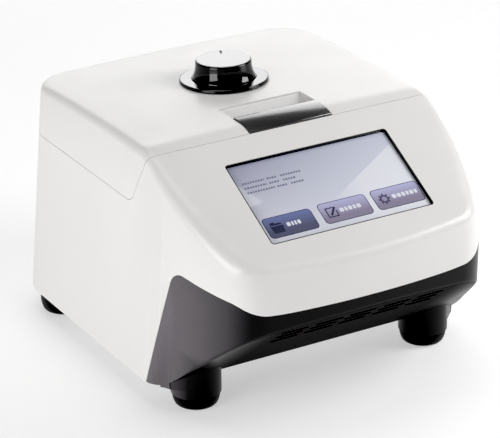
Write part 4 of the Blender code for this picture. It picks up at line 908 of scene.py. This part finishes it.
def make_feet():
    low = [(0, 0.0006), (0.012, 0.0006), (0.0126, 0), (0.0145, 0), (0.016, 0.0004), (0.0174, 0.0012),
           (0.0184, 0.0023), (0.019, 0.0036), (0.0196, 0.0052), (0.0202, 0.0078), (0.0205, 0.0098)]
    front = low + [(0.0206, 0.0108), (0.0205, 0.0114), (0.0202, 0.0117), (0, 0.0117)]
    rear = low + [(0.0206, 0.013), (0.0206, 0.0178), (0.0203, 0.0188), (0.0196, 0.0196), (0.0185, 0.0203),
                  (0, 0.0203)]
    for side, word in ((-1, "left"), (1, "right")):
        for end, profile, x, y in (("front", front, COLUMN_X, COLUMN_Y), ("rear", rear, *REAR_FOOT)):
            foot = "foot_%s_%s" % (end, word)
            bm = moved(lathe(profile), Matrix.Translation((side * x, y, 0)))
            finished("rubber_" + foot, bm, "rubber", "base", foot, 30)


make_feet()


# ---- display
def sloped(name, low, high, right=None):
    """A screen colour that runs from one to another down the panel and may change to the right."""
    n = Nodes(name)
    place = n.parts(n.coords)
    body = n.mix(n.spread(place["Z"], 0, 1, low[1], high[1]), low[0], high[0])
    if right:
        share = n.math("MULTIPLY", n.spread(place["X"], 0, 1, -0.075, 0.08), 0.75)
        body = n.mix(share, body, right)
    return n, body, place


def glassy(n, colour):
    """The screen's clear front over a colour."""
    n.finish(colour, n.spread(n.noise(90, 4), 0.05, 0.1), n.bump(n.noise(500, 2), 0.006),
             Coat_Weight=0.5, Coat_Roughness=0.03)
    return n.material


def screen_look():
    """The display's background: a cool gradient with a painted glare, a lighter diagonal sweep standing in
    for a reflection, over fine pixel rows.
    """
    height = panel_frame().translation.z
    n, body, place = sloped("display_background", ((0.78, 0.79, 0.87), height - 0.02),
                            ((0.39, 0.4, 0.53), height + 0.02), (0.72, 0.76, 0.86))
    # Painted reflection: lighter towards (0.9, 0.9, 0.95) below and right of a diagonal line, fading out to
    # the left.
    run = n.add("VectorMath", {0: n.coords, 1: (-0.43, 0.903, 0)}, operation="DOT_PRODUCT")
    edge = 0.903 * (WINDOW_Y - 0.0095)
    sweep = n.spread(run.outputs["Value"], 1, 0, edge - 0.0004, edge + 0.0004)
    fade = n.spread(place["X"], 0, 0.62, -0.012, 0.03)
    lit = n.mix(n.math("MULTIPLY", sweep, fade), body, (0.9, 0.9, 0.95))
    grid = n.add("TexWave", {"Vector": n.coords, "Scale": 1400}).outputs["Fac"]
    return glassy(n, n.mix(n.spread(grid, 0, 0.06, 0, 1), lit, (0.2, 0.2, 0.3)))


def button_look(name, top, bottom, y):
    height = SEAM_Z + PANEL_SLOPE * (WINDOW_Y - SEAM_Y) + y * sin(atan(PANEL_SLOPE))
    n, body, _ = sloped(name, (bottom, height - 0.0046), (top, height + 0.0046))
    return glassy(n, body)


def ink(name, colour):
    n = Nodes(name)
    n.finish(n.cloudy(300, 3, colour, shade(colour, 0.9)), n.spread(n.noise(90), 0.06, 0.12),
             n.bump(n.noise(500), 0.006))
    return n.material


GLASS = -DISPLAY_DEPTH
GLASS_HALF, GLASS_THICK, PRINT = (0.0771, 0.0424, 0.0022), 0.004, 0.00004
BUTTON_HALF, OUTLINE_HALF = (0.0225, 0.0102, 0.0033), (0.0231, 0.0108, 0.0038)
PLATES, SYMBOLS, LETTER = 0.00012, 0.00018, 0.0026


def on_screen(name, shapes, look, level):
    """Flat printed shapes on the display, each an outline in panel coordinates."""
    bm = bmesh.new()
    for outline in shapes:
        add_mesh(bm, prism(outline, GLASS + level - PRINT, GLASS + level, "z"))
    piece(name, moved(bm, panel_frame()), look, "base", None)


def placed(points, centre, angle=0):
    c, s = cos(angle), sin(angle)
    return [(centre[0] + x * c - y * s, centre[1] + x * s + y * c) for x, y in points]


def gear(centre, radius, teeth=8):
    points = []
    for k in range(teeth):
        for share, reach in ((-0.26, 0.74), (-0.15, 1), (0.15, 1), (0.26, 0.74)):
            turn = 2 * pi * (k + share) / teeth
            points.append((radius * reach * cos(turn), radius * reach * sin(turn)))
    return placed(points, centre)


def bars(left, right, middle, height, gap, lengths):
    """A row of short dashes that stands where a line of writing would be."""
    shapes = []
    x, k = left, 0
    while x < right - 0.0006:
        end = min(right, x + height * lengths[k % len(lengths)])
        corner = min(height, end - x) * 0.3
        shapes.append(rectangle((end - x) / 2, height / 2, corner, ((x + end) / 2, middle), 3))
        x, k = end + gap, k + 1
    return shapes


def make_display():
    glass = prism(rectangle(*GLASS_HALF), GLASS - GLASS_THICK, GLASS, "z")
    obj = piece("display_glass", moved(glass, panel_frame()), screen_look(), "base")
    soften(obj, 0.00025)
    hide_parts("touch_screen")
    refined("gloss", 0.0002, "display_bezel")
    refined("steel", 0.0005, "display_module")
    deep, pale = ((0.2, 0.25, 0.51), (0.115, 0.12, 0.195)), ((0.58, 0.59, 0.88), (0.29, 0.26, 0.36))
    places = ((-0.0512, -0.0262, deep), (0.0018, -0.0252, pale), (0.0533, -0.0247, pale))
    for k, (x, y, (top, bottom)) in enumerate(places, 1):
        plate = rectangle(*BUTTON_HALF, (x, y))
        on_screen("button_%d" % k, [plate], button_look("button_fill_%d" % k, top, bottom, y), PLATES)
    outlines = [rectangle(*OUTLINE_HALF, (x, y)) for x, y, _ in places]
    on_screen("button_outlines", outlines, ink("button_line", (0.055, 0.055, 0.12)), 0.00007)
    dark = ink("icon_ink", (0.045, 0.05, 0.095))
    folder = [placed(points, (-0.0636, -0.0268)) for points in (
        [(-0.0056, 0.005), (-0.005, 0.0058), (-0.0018, 0.0058), (-0.0008, 0.0044), (0.0046, 0.0044),
         (0.0046, 0.0026), (-0.0056, 0.0026)],
        [(-0.0062, 0.0018), (0.0056, 0.0018), (0.0046, -0.0056), (-0.0052, -0.0056)])]
    on_screen("icon_folder", folder, dark, SYMBOLS)
    # A check list: the four bars of its frame, and a pen across it.
    cx, cy = -0.0112, -0.0252
    sheet = [rectangle(half_x, half_y, 0, (cx + x, cy + y)) for half_x, half_y, x, y in (
        (0.0044, 0.0005, 0, -0.0046), (0.0005, 0.005, -0.0044, 0), (0.0036, 0.0005, -0.0008, 0.0046),
        (0.0005, 0.003, 0.0044, -0.002))]
    pen = [(-0.0052, -0.0009), (0.0042, -0.0009), (0.0052, 0), (0.0042, 0.0009), (-0.0052, 0.0009)]
    sheet.append(placed(pen, (cx + 0.0016, cy + 0.001), radians(52)))
    on_screen("icon_list", sheet, dark, SYMBOLS)
    middle = (0.04, -0.025)
    on_screen("icon_gear", [gear(middle, 0.0056)], ink("gear_ink", (0.1, 0.09, 0.15)), SYMBOLS)
    on_screen("icon_gear_eye", [gear(middle, 0.003, 24)], ink("icon_fill", (0.36, 0.35, 0.52)), 0.00024)
    labels = []
    for left, right, y, lengths in ((-0.0548, -0.0418, -0.0262, (0.8, 0.45, 0.45, 0.8)),
                                    (-0.0036, 0.018, -0.025, (0.9, 0.6, 0.85, 0.6, 0.9, 0.8)),
                                    (0.0478, 0.0722, -0.0245, (0.9, 0.85, 0.8, 0.55, 0.9, 1.2))):
        labels += bars(left, right, y, 0.0042, 0.001, lengths)
    on_screen("button_labels", labels, ink("label_ink", (0.82, 0.83, 0.92)), SYMBOLS)
    lines = []
    for right, y, words in ((-0.0156, 0.023, (8, 4, 10)), (-0.0233, 0.018, (8, 4, 6)),
                           (-0.0178, 0.013, (10, 4, 8))):
        x = -0.0715
        for k, word in enumerate(words):
            end = min(right, x + word * LETTER)
            lines += bars(x, end, y, 0.0019, 0.0009, (0.9, 0.6, 1, 0.8) if k % 2 else (0.8, 1, 0.7))
            x = end + LETTER
    on_screen("status_lines", lines, ink("status_ink", (0.22, 0.23, 0.34)), 0.0001)


make_display()


# ---- knob and dial
KNOB_RADIUS, KNOB_FOOT_RADIUS, KNOB_HEIGHT, CAP_RADIUS = 0.0247, 0.0278, 0.016, 0.0236
DIAL_THICKNESS, DIAL_PLATE, SPINDLE = 0.0022, (0.0285, 0.0381), 0.003
MARK_TURN, MARK_Y = radians(-23), CAP_RADIUS - 0.0052
KNOB_ROUNDS, KNOB_CURVE, TURNED = 16, 2.4, 160


def inwards(radius, *points):
    """Profile points given by how far they lie inside a radius."""
    return [(radius - depth, height) for depth, height in points]


def make_knob():
    at = knob_frame()
    inner, outer = DIAL_PLATE
    bore = BUSH_RADIUS + CLEAR
    disc = [(bore, -0.0007)] + inwards(DIAL_RADIUS, (0.0004, -0.0007), (0, -0.0003), (0, 0.0014),
                                       (0.0001, 0.0018), (0.0003, 0.0021), (0.0005, DIAL_THICKNESS))
    disc += [(outer + 0.0002, DIAL_THICKNESS), (outer + 0.0002, 0.0012), (inner - 0.0002, 0.0012),
             (inner - 0.0002, 0.0022), (bore, DIAL_THICKNESS)]
    finished("dial_body", moved(lathe(disc, TURNED), at), "gloss", "lid", "dial_base", 30)
    ring = [(inner, 0.0014)] + inwards(outer, (0, 0.0014), (0, 0.0023), (0.0002, 0.0024),
                                       (0.0004, 0.00245), (0.0008, 0.00245))
    ring += [(inner + 0.0006, 0.00245), (inner + 0.0004, 0.00245), (inner, 0.0022)]
    finished("dial_ring", moved(lathe(ring, TURNED), at), "mirror", "lid", "dial_plate", 30)
    low = DIAL_THICKNESS + 0.0004
    top = low + KNOB_HEIGHT
    bore = SPINDLE + 0.0002
    body = [(bore, low)] + inwards(KNOB_FOOT_RADIUS, (0.0004, low), (0, low + 0.0004), (0, low + 0.0008))
    for k in range(1, KNOB_ROUNDS + 1):
        share = k / KNOB_ROUNDS
        radius = KNOB_FOOT_RADIUS - (KNOB_FOOT_RADIUS - KNOB_RADIUS) * (1 - (1 - share) ** KNOB_CURVE)
        body.append((radius, low + 0.0008 + (KNOB_HEIGHT - 0.0026) * share))
    body += inwards(KNOB_RADIUS, (0.00005, top - 0.0012), (0.0002, top - 0.0007), (0.0005, top - 0.0003),
                    (0.0009, top))
    body += [(CAP_RADIUS + 0.0001, top), (CAP_RADIUS + 0.0001, top - 0.001), (bore, top - 0.001)]
    finished("knob_body", moved(lathe(body, TURNED), at), "gloss", "knob_set", "knob", 40)
    cap = [(0, top - 0.0008)] + inwards(CAP_RADIUS, (0, top - 0.0008), (0, top + 0.0001),
                                          (0.0002, top + 0.0003), (0.0006, top + 0.0004),
                                          (0.0008, top + 0.0004)) + [(0, top + 0.0004)]
    obj = finished("knob_disc", moved(lathe(cap, TURNED), at), "silver", "knob_set", "knob_cap", 30)
    mark_at = at @ Matrix.Rotation(MARK_TURN, 4, "Z")
    groove = prism(rectangle(0.0009, 0.0042, 0.0007, (0, MARK_Y), 6), top, top + 0.01, "z")
    combine(obj, moved(groove, mark_at))
    obj.data.set_sharp_from_angle(angle=radians(30))
    mark = prism(rectangle(0.00085, 0.0041, 0.00065, (0, MARK_Y), 6), top - 0.0002, top + 0.0003, "z")
    finished("knob_mark", moved(mark, mark_at), "rubber", "knob_set")


make_knob()


# ---- latch handle and finger cup
LATCH_ARC, LATCH_CREST, LATCH_LENGTH, LATCH_THICK, LATCH_HUB = 0.068, (0.0225, 0.2213), 0.028, 0.0022, 0.0019
SPRING_X = 0.022


def latch_profile():
    """Side view of the handle: a hub at the lip, then a curved plate back over the finger recess."""
    crest_y, crest_z = SEAM_Y + LATCH_CREST[0], LATCH_CREST[1]

    def on_arc(distance, depth):
        y = SEAM_Y + distance
        radius = LATCH_ARC - depth
        return y, crest_z - LATCH_ARC + sqrt(radius ** 2 - (y - crest_y) ** 2)

    hub = [(LATCH_Y + LATCH_HUB * cos(t), LATCH_Z + LATCH_HUB * sin(t))
           for t in (radians(a) for a in range(360, 179, -10))]
    lip = [(SEAM_Y + y, LATCH_Z + z) for y, z in ((0.0006, 0.0016), (0.00075, 0.0022), (0.0012, 0.0026))]
    outer = [on_arc(0.002 + (LATCH_LENGTH - 0.0028) * k / 18, 0) for k in range(19)]
    end = [on_arc(LATCH_LENGTH - back, depth) for back, depth in (
        (0.0003, 0.0003), (0, 0.0008), (0, LATCH_THICK - 0.0006), (0.0006, LATCH_THICK))]
    inner = [on_arc(0.0268 - 0.0198 * k / 10, LATCH_THICK) for k in range(11)]
    return hub + lip + outer + end + inner


def make_latch():
    flap = prism(latch_profile(), -LATCH_HALF, LATCH_HALF)
    obj = finished("latch_flap", flap, "flap", "latch", "latch_handle")
    combine(obj, latch_bore(0.05))
    combine(obj, block((SPRING_X - 0.0032, LATCH_Y - 0.0017, LATCH_Z - 0.004),
                       (SPRING_X + 0.0032, LATCH_Y + 0.003, LATCH_Z + 0.0017)))
    soften(obj, 0.0003, 3, 50)
    refined("plated", 0.0004, "latch_hook")
    refined("plated", 0.0003, "latch_striker")
    ramp, sheet, steps = [], 0.0014, 12
    for k in range(steps + 1):
        share = k / steps
        ramp.append((SEAM_Y + 0.0255 + 0.0271 * share, 0.2045 + 0.0142 * share ** 0.92))
    under = [(y - sheet * 0.3, z - sheet) for y, z in reversed(ramp[:-1])]
    outline = ramp + [(ramp[-1][0] + 0.0003, z) for z in (0.2185, 0.214)] + under
    obj = finished("finger_cup", prism(outline, -0.0404, 0.0404), "white", "lid", "grip_cup")
    wall = [(SEAM_Y + y, z) for y, z in ((0.004, 0.214), (0.0255, 0.2001), (0.053, 0.2001), (0.053, 0.2192),
                                         (0.03, 0.2195), (0.004, 0.2145))]
    for side in (-1, 1):
        combine(obj, prism(wall, side * 0.0402, side * 0.04055), "UNION")
    combine(obj, block((-0.01, SEAM_Y, 0.18), (0.01, SEAM_Y + 0.031, 0.23)))


make_latch()


# ---- block, hot plate and inside
WELL_PITCH = 0.009


def make_block():
    half_x, half_y, height, top = 0.058, 0.04, 0.021, 0.1712
    body = block((-half_x, BLOCK_Y - half_y, top - height), (half_x, BLOCK_Y + half_y, top))
    obj = finished("fine_sample_block", body, "bead", "base", "sample_block")
    wells = bmesh.new()
    profile = [(0, -0.015), (0.0009, -0.0149), (0.0013, -0.0145), (0.0027, -0.002), (0.0028, -0.0006),
               (0.003, -0.0002), (0.0034, 0.0001), (0.0034, 0.002), (0, 0.002)]
    for row in range(8):
        for column in range(12):
            x, y = (column - 5.5) * WELL_PITCH, BLOCK_Y + (row - 3.5) * WELL_PITCH
            add_mesh(wells, moved(lathe(profile, 20), Matrix.Translation((x, y, top))))
    combine(obj, wells)
    shade_to(obj.data, 35)


make_block()
refined("grey", 0.0008, "block_surround")
refined("seal", 0.0003, "chamber_seal")
refined("aluminium", 0.0006, "heated_platen")
refined("grey", 0.0003, "platen_carrier", angle=60)
refined("grey", 0.0004, "lid_liner", angle=60)
refined("steel", 0.0008, "power_supply")


# ---- rear panel
def make_rear():
    at = rear_frame()
    refined("dark", 0.0004, "power_inlet", "fuse_drawer", "switch_frame")
    refined("gloss", 0.0006, "power_rocker")
    refined("plated", 0.0002, "usb_port")
    refined("steel", 0.00025, "rear_panel", angle=60)
    high = REAR_OPENING_Z[1] - REAR_OPENING_Z[0]
    heads = bmesh.new()
    head = [(0, 0.0003), (0.001, 0.0006), (0.001, 0.0014), (0.0022, 0.0012), (0.003, 0.0007), (0.0033, 0),
            (0.0033, -0.0004), (0, -0.0004)]
    turn = Matrix.Rotation(-pi / 2, 4, "X")
    for x in (-0.101, 0, 0.101):
        for z in (0.007, high - 0.007):
            add_mesh(heads, moved(lathe(head, 32), at @ Matrix.Translation((x, -0.0011, z)) @ turn))
    finished("rear_panel_screws", heads, "plated", "base", smooth=30)


make_rear()


# ---- camera, light and floor
def make_camera():
    azimuth, elevation, roll = (radians(a) for a in (-30.016, 24.214, -0.564))
    forward = Vector((-sin(azimuth) * cos(elevation), cos(azimuth) * cos(elevation),
                      -sin(elevation)))
    level = Vector((cos(azimuth), sin(azimuth), 0))
    above = level.cross(forward)
    right = level * cos(roll) + above * sin(roll)
    up = above * cos(roll) - level * sin(roll)
    data = bpy.data.cameras.new("camera")
    data.lens = 193.1
    data.sensor_width = 36
    data.clip_end = 30
    camera = in_scene("camera", data)
    turn = Matrix((right, up, -forward)).transposed().to_4x4()
    camera.matrix_world = Matrix.Translation((-1.072896, -1.839699, 1.066484)) @ turn
    bpy.context.scene.camera = camera


def softbox(name, place, target, size, power):
    data = bpy.data.lights.new(name, "AREA")
    data.shape = "RECTANGLE"
    data.size, data.size_y = size
    data.energy = power
    lamp = in_scene(name, data)
    aim = (Vector(target) - Vector(place)).to_track_quat("-Z", "Y").to_matrix().to_4x4()
    lamp.matrix_world = Matrix.Translation(place) @ aim


def make_floor():
    bm = bmesh.new()
    bmesh.ops.create_grid(bm, x_segments=2, y_segments=2, size=30)
    n = Nodes("floor_card")
    n.finish(n.cloudy(3, 3, (0.62, 0.62, 0.62), (0.64, 0.64, 0.64)), n.spread(n.noise(80), 0.55, 0.75),
             n.bump(n.noise(700), 0.03, 0.0003), Specular_IOR_Level=0.1, Emission_Color=(1, 1, 1),
             Emission_Strength=0.47)
    floor = piece("studio_floor", bm, n.material, None, None)


def make_light():
    world = bpy.data.worlds.new("studio")
    bpy.context.scene.world = world
    world.use_nodes = True
    background = world.node_tree.nodes["Background"]
    background.inputs["Color"].default_value = (1, 1, 1, 1)
    background.inputs["Strength"].default_value = 0.21
    softbox("overhead", (-0.1, 0.3, 1.7), (0, 0, 0.1), (1, 1), 5.8)
    softbox("left", (-1.4, -0.45, 0.4), (0, 0, 0.1), (0.8, 0.7), 9.6)
    softbox("right", (0.85, -0.5, 0.7), (0, -0.05, 0.15), (0.5, 0.6), 8.2)
    softbox("rear_card", (1.05, 2, 0.9), (0, 0, 0.2), (2.6, 1.25), 20)


make_camera()
make_floor()
make_light()
scene = bpy.context.scene
scene.view_settings.view_transform = "Standard"
scene.view_settings.look = "None"
scene.view_settings.exposure = 0
scene.view_settings.use_curve_mapping = True
scene.view_settings.curve_mapping.black_level = (0.022, 0.022, 0.022)
scene.view_settings.curve_mapping.update()
